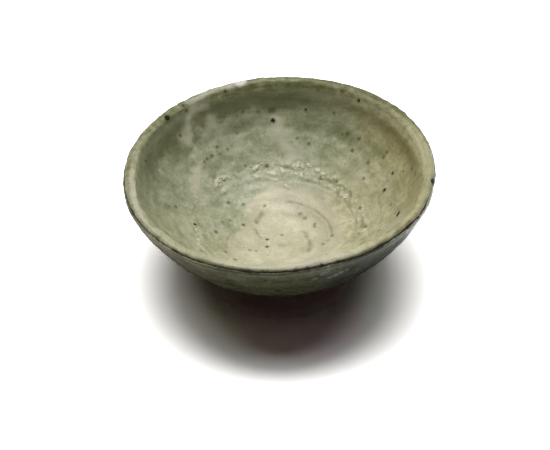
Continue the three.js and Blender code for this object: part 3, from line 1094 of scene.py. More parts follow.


# glaze ran thick and dark under the lip, with shade painted there and in the crease; the lip is olive, and
# pale where its crown is worn thin
def innerLipColour(tree, base, warm, fine, small, brushed):
    look = innerLook
    browned = raggedMask(tree, "browned", brushed, 0.8, (0.1, 1.0), (0.02, 0.3))
    poolAndShade = mixColour(tree, warm, look["pooledShadedGreen"], look["pooledShadedBrown"])
    cloudy = mottled(tree, field(tree, "poolAndShade"), fine["Clouds"], 0.9)
    base = laid(tree, fade(tree, cloudy, 0.15, 1.05), 0.8, base, poolAndShade)
    base = laid(tree, browned, 0.45, base, look["brown"])
    # painted shade in the crease
    creaseShade = times(tree, field(tree, "creaseShadeLine"), fade(tree, fine["Clouds"], 0.3, 0.6))
    base = laid(tree, creaseShade, 0.6, base, look["pooledShadedBrown"])

    thin = mottled(tree, field(tree, "lipPale"), small["Clouds"], 1.2)
    thin = mottled(tree, thin, streaked(tree, 7.0, 0.7, 4.0), 1.0)
    thinned = mixColour(tree, field(tree, "lipWarm"), look["lipPale"], look["lipBuff"])
    thinned = tinted(tree, field(tree, "lipInner"), thinned, look["lipInnerTint"])
    thinned = tinted(tree, field(tree, "lipWhite"), thinned, look["lipWhiteTint"])
    crown = mixColour(tree, fade(tree, thin, 0.0, 1.0), look["lipOlive"], thinned)
    crown = tinted(tree, fade(tree, small["Curdle"], 0.55, 0.36), crown, look["crownTint"])
    lip = raggedMask(tree, "onLip", small["Clouds"], 0.5, (0.1, 0.9), (0.0, 0.2))
    return mixColour(tree, lip, base, crown)


# milky runs, the white patch, what the kiln grit left and the fingers' grooves, with shade painted in the
# hollows and grooves
def innerMarksColour(tree, base, fine, small):
    look = innerLook
    milky = raggedMask(tree, "milk", fine["Clouds"], 0.6, (-0.1, 1.2), (0.0, 0.6))
    base = mixColour(tree, milky, base, look["milk"])
    white = mottled(tree, field(tree, "white"), small["Clouds"], 0.3)
    base = mixColour(tree, fade(tree, white, 0.15, 0.6), base, look["white"])
    # painted shade in the hollows by the grit, round the ring pit and beside the beads
    base = laid(tree, field(tree, "hollowShade"), 0.75, base, look["dark"])
    crust = times(tree, times(tree, field(tree, "grit"), fade(tree, small["Clouds"], 0.52, 0.64)), 0.4)
    crust = larger(tree, crust, times(tree, field(tree, "ridges"), 0.6))
    base = mixColour(tree, crust, base, look["cream"])
    base = laid(tree, field(tree, "beads"), 0.6, base, look["bead"])
    # painted shade in the fingers' grooves
    return laid(tree, field(tree, "groove"), 0.55, base, look["groove"])


# iron: the large spots, then the small ones that lie everywhere; also says where the black cores are
def innerIronColour(tree, base, fine, ragged):
    look = innerLook
    spots = plus(tree, field(tree, "spots"), ragged)
    freckles = plus(tree, field(tree, "freckles"), ragged)
    specks = specked(tree, 6.0, 0.75, 0.5)
    often = plus(tree, times(tree, field(tree, "speckled"), 0.5), 0.4)
    tiny = specked(tree, 2.4, 0.45, often)
    stained = fade(tree, maths(tree, "MINIMUM", spots, freckles), 1.0, -0.2)
    base = laid(tree, stained, 0.55, base, look["stain"])
    base = laid(tree, specks["Stain"], 0.35, base, look["stain"])
    olive = times(tree, fade(tree, freckles, 0.5, -0.9), fade(tree, fine["Clouds"], 0.25, 0.55))
    speck = larger(tree, times(tree, specks["Core"], 0.75), olive)
    speck = larger(tree, speck, times(tree, tiny["Core"], 0.5))
    base = mixColour(tree, speck, base, look["speck"])
    core = fade(tree, spots, 0.25, -0.6)
    return mixColour(tree, core, base, look["iron"]), core


def makeInnerGlazeMaterial():
    look = innerLook
    material, tree, shader = newMaterial("celadonInside")
    broad, fine, small = [clouded(tree, size) for size in (24.0, 9.0, 4.0)]
    streaks = streaked(tree, 3.0, 0.22, 3.0)
    brushed = streaked(tree, 7.0, 0.45, 4.0)
    warm = mottled(tree, field(tree, "warm"), broad["Clouds"], 0.4)
    warm = fade(tree, mottled(tree, warm, fine["Clouds"], 0.25), 0.0, 0.95)
    base = innerWallColour(tree, warm, fine, small, brushed)
    base = tinted(tree, fade(tree, streaks, 0.42, 0.64), base, look["streakTint"])
    base = tinted(tree, fade(tree, small["Curdle"], 0.55, 0.36), base, look["grainTint"])
    thick = raggedMask(tree, "thickened", fine["Clouds"], 0.8, (0.1, 0.9), (0.02, 0.3))
    base = tinted(tree, thick, base, look["thickTint"])
    base = tinted(tree, times(tree, warm, field(tree, "highWall")), base, look["sunnyTint"])
    base = innerLipColour(tree, base, warm, fine, small, brushed)
    base = innerMarksColour(tree, base, fine, small)
    ragged = shifted(tree, small["Curdle"], 1.9)
    base, core = innerIronColour(tree, base, fine, ragged)

    # burnt edge where the glaze thins out beside the bare clay
    burnt = fade(tree, plus(tree, field(tree, "toEdge"), ragged), 0.25, -0.05)
    base = mixColour(tree, times(tree, burnt, field(tree, "burntLip")), base, look["burnt"])

    shader.inputs["Specular IOR Level"].default_value = look["gloss"]
    rough = plus(tree, shifted(tree, fine["Clouds"], 0.2), times(tree, core, 0.45))
    glassy = times(tree, larger(tree, field(tree, "ridges"), field(tree, "beads")), 0.2)
    rough = plus(tree, maths(tree, "SUBTRACT", rough, glassy), look["roughness"])
    height = plus(tree, times(tree, holed(tree, 1.7, 0.3), 0.4), times(tree, small["Curdle"], 0.6))
    finishShader(tree, shader, base, rough, height, look["bumpDepth"])
    return material


innerGlaze = makeInnerGlaze()
settle(innerGlaze, "inner_glaze", makeInnerGlazeMaterial())

# glaze on the outer edge of the lip and down the outer wall
outerLook = {
    "columns": 768,
    "rowStep": 0.75 * mm,
    "spacing": 0.75 * mm,
    "rollRows": 10,
    "glazeLine": 3.0 * mm,  # bare clay left above the foot
    "drips": 2.2 * mm,
    "throwingStep": 8.5,  # mm between the rings that throwing left
    "throwingDepth": 0.11,
    "lumps": [(0.12, 17, 34), (0.06, 6, 35), (0.02, 2.6, 36)],  # height and size in mm, seed
    "burntDepth": 0.5,  # glaze draws in this much at the bare line and at its hem
    "hemRoll": (0.25, 1.6, 1.2),  # thick roll above the hem: height, mm above it and reach
    "green": colour(0.35, 0.355, 0.205),
    "brown": colour(0.44, 0.39, 0.225),
    "grey": colour(0.40, 0.425, 0.33),
    "pale": colour(0.62, 0.64, 0.53),
    # painted reflection of the bright table, on the right under the lip
    "sheen": colour(0.70, 0.72, 0.64),
    "stain": colour(0.09, 0.08, 0.035),
    "iron": colour(0.015, 0.012, 0.007),
    "burnt": colour(0.02, 0.016, 0.009),
    # what multiplies the colour in clouds, and painted shade low on the wall, at the lip's edge and on the
    # right in front
    "cloudTint": colour(0.62, 0.66, 0.55),
    "curdleTint": colour(0.74, 0.77, 0.70),
    "lowShadeTint": colour(0.5, 0.49, 0.47),
    "edgeShadeTint": colour(0.38, 0.38, 0.34),
    "rightLowShadeTint": colour(0.62, 0.62, 0.64),
    "roughness": 0.18,
    "gloss": 0.22,
    "bumpDepth": 0.10 * mm,
    # around the bowl: degrees, how brown and how grey its glaze is
    "around": [
        (-160, 0.7, 0.1), (-130, 0.9, 0.0), (-105, 0.3, 0.0), (-85, 0.0, 0.1), (-60, 0.0, 0.7),
        (-30, 0.1, 0.9), (10, 0.4, 0.5), (60, 0.6, 0.2), (110, 0.2, 0.5), (160, 0.5, 0.3),
    ],
    # pale dabs of glaze: degrees around, mm below the roll, radius and strength
    "dabs": [
        (-77, 6.6, 2.2, 0.6), (-74, 2.8, 2.6, 0.6), (-72.5, 0.8, 1.9, 0.45), (-78.5, 0.8, 1.7, 0.35),
        (-71, 8.8, 1.8, 0.65), (-69, 7.5, 1.9, 0.8), (-67, 6.2, 1.9, 0.8), (-65, 5.2, 1.6, 0.6),
        (-82, 3.2, 1.9, 0.3), (-60, 9.0, 2.0, 0.3), (-25, 12.0, 3.0, 0.4), (20, 9.0, 3.5, 0.5),
        (64, 18.0, 4.0, 0.4), (101, 7.0, 3.0, 0.5), (143, 14.0, 4.0, 0.4),
    ],
}
clayOutside = outerWall["radius"] - bowlShape["clayDepth"]


# the hem of the glaze above the foot, with its runs
def outerStop(theta):
    level = -math.acos(bowlShape["footRadius"] / clayOutside) + outerLook["glazeLine"] / outerWall["radius"]
    runs = 0.6 * aroundNoise(theta, 31, 2, 7) + 0.22 * aroundNoise(theta, 32, 8, 17)
    return level - outerLook["drips"] / outerWall["radius"] * np.clip(runs, -1, 1.1)


# throwing rings, lumps, and thin edges at the bare line and at the hem, in mm
def outerRelief(flat, theta, onRoll, fromRoll, toEdge, toHem):
    look = outerLook
    turns = fullTurn * (fromRoll / look["throwingStep"] + theta / fullTurn)
    relief = look["throwingDepth"] * np.sin(turns + 0.8 * aroundNoise(theta, 33, 1, 4))
    relief *= smooth(1, 8, fromRoll)
    relief += layered(flat, look["lumps"])
    relief += onRoll * 0.06 * lumps(flat, 5, 28)
    relief -= onRoll * look["burntDepth"] * withinEdge(toEdge, 0.35)
    height, above, reach = look["hemRoll"]
    return relief + height * bulge(toHem - above, reach) - look["burntDepth"] * withinEdge(toHem, 0.45)


# where the glaze outside is brown, grey or pale, where its lip is burnt, and where shade and a sheen are
# painted on it
def outerFields(theta, angle, onRoll, fromRoll):
    look = outerLook
    degrees, browns, greys = np.array(look["around"]).T
    dabs = np.zeros_like(theta)
    for turn, below, reach, strength in look["dabs"]:
        beside = turnBetween(theta, turn) * bowlShape["lipRadius"] / mm
        dabs = np.maximum(dabs, strength * bulge(np.hypot(beside, fromRoll - below), reach))
    # painted shade low on the wall, more on the right in front, less on the left in front and at the back
    lowShade = 0.85 - 0.25 * near(theta, -140, 35)
    lowShade += 0.15 * near(theta, -52, 26)  # dark on the right in front
    lowShade -= 0.3 * smooth(-0.2, 0.6, np.sin(theta))  # less at the back
    rightSide = smooth(15, 34, np.degrees(turnBetween(theta, -72)))
    rightSide *= smooth(20, 0, np.degrees(turnBetween(theta, 0)))
    leftSide = near(theta, -134, 16)
    # painted shade on the lip's outer edge, with little of it on the right and on the left in front
    edge = onRoll * smooth(math.radians(-8), math.radians(14), angle)
    return {
        "burntLip": burntShare(theta),
        "edge": edge * (1 - 0.85 * np.maximum(rightSide, leftSide)),
        # a painted sheen on the right under the lip
        "rightSheen": rightSide * smooth(11, 1, fromRoll),
        # painted shade low on the right in front
        "rightLowShade": near(theta, -60, 17) * smooth(-1.5, 3.5, fromRoll),
        "low": smooth(1, 15, fromRoll) * lowShade,
        "brown": aroundBowl(theta, degrees, browns),
        "grey": aroundBowl(theta, degrees, greys),
        "dabs": dabs,
    }


def makeOuterGlaze():
    look = outerLook
    glaze, spacing = bowlShape["glaze"], look["spacing"]
    length = outerWall["radius"] * (rollEnd - outerStop(np.zeros(1))[0])
    rows = sweep(lipRoll, outerStart, rollEnd, look["rollRows"], 0, spacing)
    rows += sweep(outerWall, rollEnd, outerStop, round(length / look["rowStep"]), 0, spacing, 1)
    front = len(rows) - 1
    rows += sweep(outerWall, outerStop, rollEnd, 20, glaze, hiddenSpacing)
    rows += sweep(lipRoll, rollEnd, outerStart, 4, glaze, hiddenSpacing, 1)
    rings = layRings(rows, look["columns"], closed=True)

    flat = thrown(ringPoints(rings)) / mm
    angle, theta = rings["angle"], rings["theta"]
    onRoll = rings["radius"] == roll
    toEdge = np.where(onRoll, roll * (outerStart(theta) - angle), 1.0) / mm
    fromRoll = np.where(onRoll, 0, outerWall["radius"] * (rollEnd - angle)) / mm
    toHem = np.where(onRoll, 60 * mm, outerWall["radius"] * (angle - outerStop(theta))) / mm
    relief = outerRelief(flat, theta, onRoll, fromRoll, toEdge, toHem)
    relief = np.where(rings["row"] <= front, relief, 0) * mm
    fields = {"toEdge": toEdge, "toHem": toHem, **outerFields(theta, angle, onRoll, fromRoll)}
    points = thrown(ringPoints(rings, relief))
    discs = [(0, front, *largeDisc), (front, len(rows), *smallDisc)]
    return ringMesh("outer_glaze_coat", rings, points, discs, fields)


def makeOuterGlazeMaterial():
    look = outerLook
    material, tree, shader = newMaterial("celadonOutside")
    broad, fine = [clouded(tree, size) for size in (30.0, 10.0)]
    streaks = streaked(tree, 3.0, 0.28, 4.0)
    lipStreaks = streaked(tree, 20.0, 0.10, 3.0)
    browned = mottled(tree, field(tree, "brown"), broad["Clouds"], 1.4)
    base = mixColour(tree, fade(tree, browned, 0.1, 0.9), look["green"], look["brown"])
    greyed = mottled(tree, field(tree, "grey"), streaks, 2.0)
    base = mixColour(tree, fade(tree, greyed, 0.1, 1.0), base, look["grey"])
    patches = times(tree, fade(tree, fine["Clouds"], 0.56, 0.68), fade(tree, lipStreaks, 0.45, 0.6))
    base = laid(tree, patches, 0.3, base, look["pale"])
    base = tinted(tree, fade(tree, fine["Clouds"], 0.52, 0.36), base, look["cloudTint"])
    base = tinted(tree, fade(tree, fine["Curdle"], 0.52, 0.36), base, look["curdleTint"])
    # painted shade low on the wall, on the lip's outer edge and low on the right in front, then a painted
    # sheen on the right
    base = tinted(tree, field(tree, "low"), base, look["lowShadeTint"])
    base = tinted(tree, field(tree, "edge"), base, look["edgeShadeTint"])
    base = tinted(tree, field(tree, "rightLowShade"), base, look["rightLowShadeTint"])
    base = laid(tree, field(tree, "rightSheen"), 0.3, base, look["sheen"])
    dabs = raggedMask(tree, "dabs", fine["Curdle"], 0.6, (0.1, 0.9), (0.05, 0.3))
    base = mixColour(tree, dabs, base, look["pale"])

    # iron, then the burnt edges at the bare line and at the hem
    small = specked(tree, 6.0, 1.1, 0.55)
    tiny = specked(tree, 2.6, 0.45, 0.4)
    base = laid(tree, small["Stain"], 0.5, base, look["stain"])
    core = larger(tree, small["Core"], times(tree, tiny["Core"], 0.6))
    base = laid(tree, core, 0.85, base, look["iron"])
    ragged = shifted(tree, fine["Curdle"], 1.4)
    burnt = fade(tree, plus(tree, field(tree, "toEdge"), ragged), 0.3, -0.1)
    burnt = times(tree, burnt, field(tree, "burntLip"))
    hem = fade(tree, plus(tree, field(tree, "toHem"), ragged), 1.2, 0.1)
    base = mixColour(tree, larger(tree, burnt, times(tree, hem, 0.6)), base, look["burnt"])

    shader.inputs["Specular IOR Level"].default_value = look["gloss"]
    rough = plus(tree, shifted(tree, fine["Clouds"], 0.2), look["roughness"])
    height = plus(tree, times(tree, holed(tree, 1.7, 0.35), 0.5), times(tree, fine["Curdle"], 0.5))
    finishShader(tree, shader, base, rough, height, look["bumpDepth"])
    return material


outerGlaze = makeOuterGlaze()
settle(outerGlaze, "outer_glaze", makeOuterGlazeMaterial())

# the thrown shell: bare on the lip's line, on the wall above the foot and under the foot's glaze edge
clayLook = {
    "columns": 768,
    "lineDepth": 0.25 * mm,  # bare line under the finished surface
    "lineFrom": math.radians(95),  # up the roll, where the points lie closer
    "dark": colour(0.02, 0.015, 0.009),
    "brown": colour(0.15, 0.115, 0.07),
    "buff": colour(0.24, 0.19, 0.12),
    "streakTint": colour(0.72, 0.70, 0.66),
    "roughness": 0.72,
    "gloss": 0.2,
    "bumpDepth": 0.15 * mm,
}


def makeClayBody():
    look = clayLook
    depth = bowlShape["clayDepth"]
    rows = sweep(innerWall, straightDown, innerEnd, 24, depth, hiddenSpacing)
    rows += sweep(lipCrease, innerEnd, creaseEnd, 2, depth, 2 * mm, 1)
    rows += sweep(lipRoll, rollStart, look["lineFrom"], 4, depth, 1 * mm, 1)
    rows += sweep(lipRoll, look["lineFrom"], rollEnd, 26, depth, 0.62 * mm, 1)
    top = len(rows) - 1
    rows += sweep(outerWall, rollEnd, straightDown, 60, depth, 1.6 * mm, 1)
    rings = layRings(rows, look["columns"])
    flat = thrown(ringPoints(rings)) / mm
    theta = rings["theta"]
    onRoll = rings["radius"] == roll
    inside = (rings["angle"] - innerStop(theta)) * roll / mm
    outside = (outerStart(theta) - rings["angle"]) * roll / mm
    beyond = np.maximum(inside, outside)  # mm under the glaze, negative on the bare line
    ridge = smooth(0.9, -0.35, beyond) * onRoll
    relief = ridge * (depth - look["lineDepth"]) / mm + ridge * 0.09 * lumps(flat, 1.8, 41)
    under = rings["row"] > top
    relief += under * (0.05 * lumps(flat, 3, 42) + 0.04 * np.sin(flat[:, 2] * 5))
    points = thrown(ringPoints(rings, relief * mm))
    discs = [(0, top, *middleDisc), (top, len(rows) - 1, *largeDisc)]
    return ringMesh("clay_shell", rings, points, discs, {"bareLine": ridge * (1 - 0.7 * unburnt(theta))})


# stoneware; line says whether the mesh has a scorched line
def makeClayMaterial(name, look, line):
    material, tree, shader = newMaterial(name)
    fine = clouded(tree, 6.0)
    streaks = streaked(tree, 3.0, 1.6, 4.0)
    base = mixColour(tree, fade(tree, fine["Clouds"], 0.36, 0.64), look["brown"], look["buff"])
    base = tinted(tree, fade(tree, streaks, 0.55, 0.35), base, look["streakTint"])
    base = laid(tree, specked(tree, 2.4, 0.5, 0.5)["Core"], 0.7, base, look["dark"])
    if line:
        scorched = times(tree, field(tree, "bareLine"), fade(tree, fine["Curdle"], 0.90, 0.55))
        base = mixColour(tree, scorched, base, look["dark"])
    shader.inputs["Specular IOR Level"].default_value = look["gloss"]
    rough = plus(tree, shifted(tree, fine["Curdle"], 0.2), look["roughness"])
    height = plus(tree, times(tree, holed(tree, 0.9, 0.45), 0.5), times(tree, fine["Curdle"], 0.5))
    finishShader(tree, shader, base, rough, height, look["bumpDepth"])
    return material


claySkin = makeClayBody()
settle(claySkin, "clay_body", makeClayMaterial("stonewareShell", clayLook, True))

# ring of clay luted under the shell and turned on the wheel
footLook = {
    "width": 6.0 * mm,
    "edge": 1.0 * mm,  # rounding of the standing edges
    "fillet": 1.8 * mm,  # clay smeared into the corners under the shell
    "draft": 0.7 * mm,  # the ring narrows this much towards the table
    "sunk": 0.4 * mm,  # its top reaches this far into the shell
    "columns": 384,
    "dark": colour(0.06, 0.042, 0.026),
    "brown": colour(0.14, 0.105, 0.068),
    "buff": colour(0.23, 0.175, 0.115),
    "streakTint": colour(0.72, 0.70, 0.66),
    "roughness": 0.8,
    "gloss": 0.3,
    "bumpDepth": 0.15 * mm,
}


# points of the foot's section, with the clay on the right: up the inside, over the top, down the outside
def footSection():
    look = footLook
    outer = bowlShape["footRadius"]
    inner = outer - look["width"]
    edge, fillet, draft = look["edge"], look["fillet"], look["draft"]

    def top(r):
        return outerZ - math.sqrt((clayOutside - look["sunk"]) ** 2 - r ** 2)

    bends = np.linspace(0, math.pi / 2, 7)
    points = []
    for bend in bends:
        points.append((inner + draft + edge * (1 - math.sin(bend)), edge * (1 - math.cos(bend))))
    innerTop = top(inner) - look["sunk"]
    for height in np.linspace(edge, innerTop - fillet, 10)[1:]:
        points.append((inner + draft * (1 - height / innerTop), height))
    for bend in bends[1:]:
        points.append((inner - fillet * (1 - math.cos(bend)), innerTop - fillet + fillet * math.sin(bend)))
    for r in np.linspace(inner - 0.8 * fillet, outer + 0.8 * fillet, 9):
        points.append((r, top(r)))
    outerTop = top(outer) - look["sunk"]
    for bend in bends[:0:-1]:
        points.append((outer + fillet * (1 - math.cos(bend)), outerTop - fillet + fillet * math.sin(bend)))
    for height in np.linspace(outerTop - fillet, edge, 14)[:-1]:
        points.append((outer - draft * (1 - height / outerTop), height))
    for bend in bends[::-1]:
        points.append((outer - draft - edge * (1 - math.sin(bend)), edge * (1 - math.cos(bend))))
    for r in np.linspace(outer - draft - edge, inner + draft + edge, 7)[1:-1]:
        points.append((r, 0.0))
    return np.array(points)


def makeFootRing():
    look = footLook
    section = footSection()
    count = look["columns"]
    theta = np.tile(np.arange(count) * (fullTurn / count), len(section))
    r = np.repeat(section[:, 0], count)
    z = np.repeat(section[:, 1], count)
    flat = np.stack([r * np.cos(theta), r * np.sin(theta), z], 1) / mm
    lifted = smooth(0.2, 1.4, z / mm)  # the standing face stays flat
    marks = 0.07 * np.sin(z / mm * 4.2 + 0.6 * aroundNoise(theta, 51, 1, 5)) + 0.08 * lumps(flat, 5, 52)
    outward = np.where(r > bowlShape["footRadius"] - look["width"] / 2, 1, -1)
    grow = 1 + outward * lifted * (marks + 0.05 * lumps(flat, 1.8, 53)) * mm / r
    points = np.stack([r * grow * np.cos(theta), r * grow * np.sin(theta), z], 1)
    rings = {
        "counts": [count] * len(section),
        "starts": np.arange(len(section)) * count,
        "theta": theta,
    }
    half = len(section) // 2
    discs = [(0, half, (0.25, 0.75), 0.24), (half, len(section), (0.72, 0.28), 0.27)]
    return ringMesh("turned_foot", rings, points, discs)


footRing = makeFootRing()
settle(footRing, "foot_ring", makeClayMaterial("stonewareFoot", footLook, False))

# glaze on the underside, inside the foot
baseLook = {
    "margin": 1.5 * mm,  # bare clay between this glaze and the foot
    "columns": 192,
    "lumps": [(0.05, 9, 62), (0.03, 3, 63)],  # height and size in mm, seed
    "green": colour(0.25, 0.265, 0.17),
    "brown": colour(0.24, 0.20, 0.11),
    "pale": colour(0.42, 0.41, 0.31),
    "iron": colour(0.03, 0.022, 0.012),
    "burnt": colour(0.075, 0.05, 0.028),
    "curdleTint": colour(0.8, 0.82, 0.76),
    "roughness": 0.4,
    "bumpDepth": 0.08 * mm,
}


def makeBaseGlaze():
    look = baseLook
    glaze = bowlShape["glaze"]
    edgeRadius = bowlShape["footRadius"] - footLook["width"] - look["margin"]

    def rim(theta):
        reach = edgeRadius - 0.8 * mm * np.abs(aroundNoise(theta, 61, 2, 12))
        return -np.arccos(reach / outerWall["radius"])

    rows = sweep(outerWall, straightDown, rim, 12, glaze, 2 * mm)
    back = len(rows) - 1
    rows += sweep(outerWall, rim, straightDown, 36, 0, 0.7 * mm)
    rings = layRings(rows, look["columns"])
    flat = ringPoints(rings) / mm
    face = rings["row"] > back
    toRim = outerWall["radius"] * (rim(rings["theta"]) - rings["angle"]) / mm
    relief = layered(flat, look["lumps"])
    relief += 0.15 * bulge(toRim - 1.2, 0.9) - 0.5 * withinEdge(toRim, 0.4)  # thick, then thin at the rim
    points = ringPoints(rings, np.where(face, relief, 0) * mm)
    discs = [(0, back, *middleDisc), (back, len(rows) - 1, *largeDisc)]
    return ringMesh("foot_well_glaze", rings, points, discs, {"toRim": np.abs(toRim)})


def makeBaseGlazeMaterial():
    look = baseLook
    material, tree, shader = newMaterial("celadonUnderFoot")
    broad = clouded(tree, 16.0)
    streaks = streaked(tree, 2.0, 0.5, 4.0)
    base = mixColour(tree, fade(tree, broad["Clouds"], 0.40, 0.62), look["green"], look["brown"])
    base = laid(tree, fade(tree, streaks, 0.5, 0.7), 0.6, base, look["pale"])
    base = tinted(tree, fade(tree, broad["Curdle"], 0.52, 0.36), base, look["curdleTint"])
    base = laid(tree, specked(tree, 4.5, 0.9, 0.5)["Core"], 0.8, base, look["iron"])
    burnt = fade(tree, mottled(tree, field(tree, "toRim"), broad["Curdle"], 1.6), 1.3, 0.2)
    base = laid(tree, burnt, 0.8, base, look["burnt"])
    rough = plus(tree, shifted(tree, broad["Curdle"], 0.2), look["roughness"])
    finishShader(tree, shader, base, rough, holed(tree, 1.5, 0.35), look["bumpDepth"])
    return material


baseGlaze = makeBaseGlaze()
settle(baseGlaze, "base_glaze", makeBaseGlazeMaterial())

# crumbs of kiln grit in a broken ring on the inner glaze; places on the plan in mm
gritLook = {
    # x, y and length of the crumbs that stand out
    "crumbs": [
        (8.9, 41.4, 1.7), (10.9, 41.3, 1.8), (9.9, 42.2, 1.2), (13.0, 40.4, 1.3), (15.6, 40.2, 1.0),
        (19.8, 38.2, 1.5), (22.6, 35.8, 1.6), (23.8, 35.1, 1.4), (22.9, 33.5, 1.0), (14.5, 42.8, 0.8),
        (5.0, 42.2, 1.0), (2.0, 39.6, 1.1), (7.0, 38.0, 1.2), (29.0, 31.4, 1.0), (33.2, 20.2, 1.6),
        (34.5, 18.2, 1.4), (-11.4, 40.4, 1.5), (-10.8, 36.3, 1.8), (-2.0, 35.1, 1.3), (4.4, 32.2, 0.9),
        (-31.6, 26.6, 1.5), (-30.4, 29.0, 1.6), (-28.0, 31.2, 1.7), (-27.4, 24.4, 1.1), (-36.0, 22.0, 0.9),
        (-41.6, 14.8, 1.2), (-38.6, -19.6, 0.9), (-37.0, -22.8, 1.1), (-34.6, -25.8, 1.0),
        (-33.4, -31.8, 1.1), (40.0, -2.0, 1.0), (39.6, -5.2, 1.1), (43.0, -4.4, 1.1), (37.0, -19.2, 1.1),
        (33.0, -24.0, 0.9), (17.6, 7.0, 0.7), (18.5, -8.0, 0.7), (27.4, -7.0, 0.7), (48.2, 12.8, 1.0),
        (-59.0, 17.0, 0.8),
    ],
    # stretches of the ring with small crumbs: from degrees, to degrees, how many
    "stretches": [(55, 115, 16), (128, 152, 8), (158, 215, 12), (-40, 40, 16), (215, 245, 8)],
    "rows": (39.8, 43.0),  # distances of its two rows from the axis
    "smallest": 0.45,
    "largest": 1.1,
    "flatness": 0.4,
    "sunk": 0.2,  # share of its height that is in the glaze
    "white": colour(0.72, 0.70, 0.56),
    "buff": colour(0.52, 0.50, 0.36),
    "dirt": colour(0.14, 0.125, 0.07),
    "roughness": 0.36,
    "bumpDepth": 0.12 * mm,
}


# x, y and length of all crumbs: the ones that stand out, then small ones strewn in their stretches
def placedCrumbs(draw):
    look = gritLook
    crumbs = list(look["crumbs"])
    for fromDegrees, toDegrees, count in look["stretches"]:
        for _ in range(count):
            turn = math.radians(draw.uniform(fromDegrees, toDegrees))
            away = look["rows"][draw.integers(2)] + draw.normal(0, 0.5)
            length = look["smallest"] + (look["largest"] - look["smallest"]) * draw.random() ** 2
            crumbs.append((away * math.cos(turn), away * math.sin(turn), length))
    return crumbs


def roundBall():
    ball = bmesh.new()
    bmesh.ops.create_icosphere(ball, subdivisions=3, radius=1)
    points = np.array([v.co[:] for v in ball.verts])
    faces = np.array([[v.index for v in f.verts] for f in ball.faces])
    ball.free()
    return points, faces


# a ball made lumpy and flat, lying on the inner glaze with its length about along the wheel's turn
def crumbPoints(draw, ballPoints, x, y, length, seed):
    look = gritLook
    half = length / 2 * mm
    middle = onInnerFace(np.float64(x), np.float64(y)) * mm
    turn = math.atan2(y, x)
    around = np.array([-math.sin(turn), math.cos(turn), 0])
    normal = np.array([-x * mm, -y * mm, innerZ - middle[2]])
    normal /= np.linalg.norm(normal)
    upWall = np.cross(normal, around)
    narrow = draw.uniform(0.65, 1.0)
    tall = look["flatness"] * draw.uniform(0.7, 1.2)
    lumpy = 1 + 0.16 * lumps(ballPoints, 2.2, seed, 10)[:, None]
    sides = ballPoints * lumpy * np.array([1, narrow, tall]) * half
    skew = draw.normal(0, 0.25)
    along = np.cos(skew) * around + np.sin(skew) * upWall
    across = np.cross(normal, along)
    lifted = middle + normal * tall * half * (1 - 2 * look["sunk"])
    return lifted + sides @ np.stack([along, across, normal])


def makeKilnGrit():
    draw = np.random.default_rng(71)
    crumbs = placedCrumbs(draw)
    ballPoints, ballFaces = roundBall()
    points = []
    faces = []
    for index, (x, y, length) in enumerate(crumbs):
        points.append(crumbPoints(draw, ballPoints, x, y, length, 100 + index))
        faces.append(ballFaces + index * len(ballPoints))
    mesh = bpy.data.meshes.new("kiln_grit_crumbs")
    mesh.from_pydata(thrown(np.concatenate(points)).tolist(), [], np.concatenate(faces).tolist())
    return addPiece("kiln_grit_crumbs", mesh)


def makeGritMaterial():
    look = gritLook
    material, tree, shader = newMaterial("kilnGrit")
    cloud = clouded(tree, 5.0)
    base = mixColour(tree, fade(tree, cloud["Clouds"], 0.40, 0.60), look["buff"], look["white"])
    base = laid(tree, fade(tree, cloud["Curdle"], 0.46, 0.34), 0.7, base, look["dirt"])
    rough = plus(tree, shifted(tree, cloud["Curdle"], 0.3), look["roughness"])
    finishShader(tree, shader, base, rough, cloud["Curdle"], look["bumpDepth"])
    return material


kilnGrit = makeKilnGrit()
settle(kilnGrit, "kiln_grit_ring", makeGritMaterial())

# white table and background; the table keeps the bowl's shadow
stageLook = {
    "tableRadius": 1.0,
    "tableSides": 64,
    "drop": 0.3 * mm,  # table just under the foot
    "seen": (2.55, 2.51, 2.49),  # table as the camera sees it, over-exposed
    # painted shade on the table under the bowl
    "seenInPaintedShade": (0.85, 0.72, 0.67),  # and under the bowl, where the light that the wall throws back is weak
    "shadeFrom": (34 * mm, 60 * mm),  # from the axis to where the shade under the bowl thins
    "shadeTint": (1.0, 0.77, 0.94),  # warm shade in front, against the green that the glaze throws back
    "tintMiddle": (8 * mm, -38 * mm, 0.0),  # where this shade is warmest
    "tintReach": (40 * mm, 20 * mm),  # from there to where it ends, and to where it is full
    "mirrored": (0.35, 1.8),  # table as the glaze mirrors it, near the foot and out in the light
    "glare": 3.2,  # and on the right, where it is brightest
    "glareSide": (1.0, 0.7, 0.0),  # to the right and back
    "glareFrom": (72 * mm, 104 * mm),  # that way, where the glare begins and where it is full
    "lightFrom": (75 * mm, 125 * mm),  # from the axis to where the table lies in the light
    "lit": (0.12, 0.45),  # table as it lights the bowl, near the foot and out in the light
    "fill": (0.0008, 0.0004, 0.0003),  # faint warm light from all around
    "ceiling": 0.10,  # what shines overhead, beside the white at the horizon
    "horizon": (0.5, 0.15),  # heights between which the ceiling gives way to the white
    "lampAway": 2.0,
    "lampFrom": (-0.035, 0.18, 1.0),  # direction from the bowl, overhead and a little to the back
    # a softbox that is bright in its middle: width, depth and share of the light
    "lamps": [
        (1.7, 0.85, 0.6),
        (3.05, 1.6, 0.4),
    ],
    "lampSpread": 1.2,  # makes up for the lamp's far ends
}


# 1 for rays of the camera, and for rays that a shiny or clear surface sends on
def seenBy(tree):
    path = newNode(tree, "ShaderNodeLightPath").outputs
    return path["Is Camera Ray"], larger(tree, path["Is Glossy Ray"], path["Is Transmission Ray"])


def measured(tree, operation, a, b):
    return newNode(tree, "ShaderNodeVectorMath", {0: a, 1: b}, operation=operation).outputs["Value"]


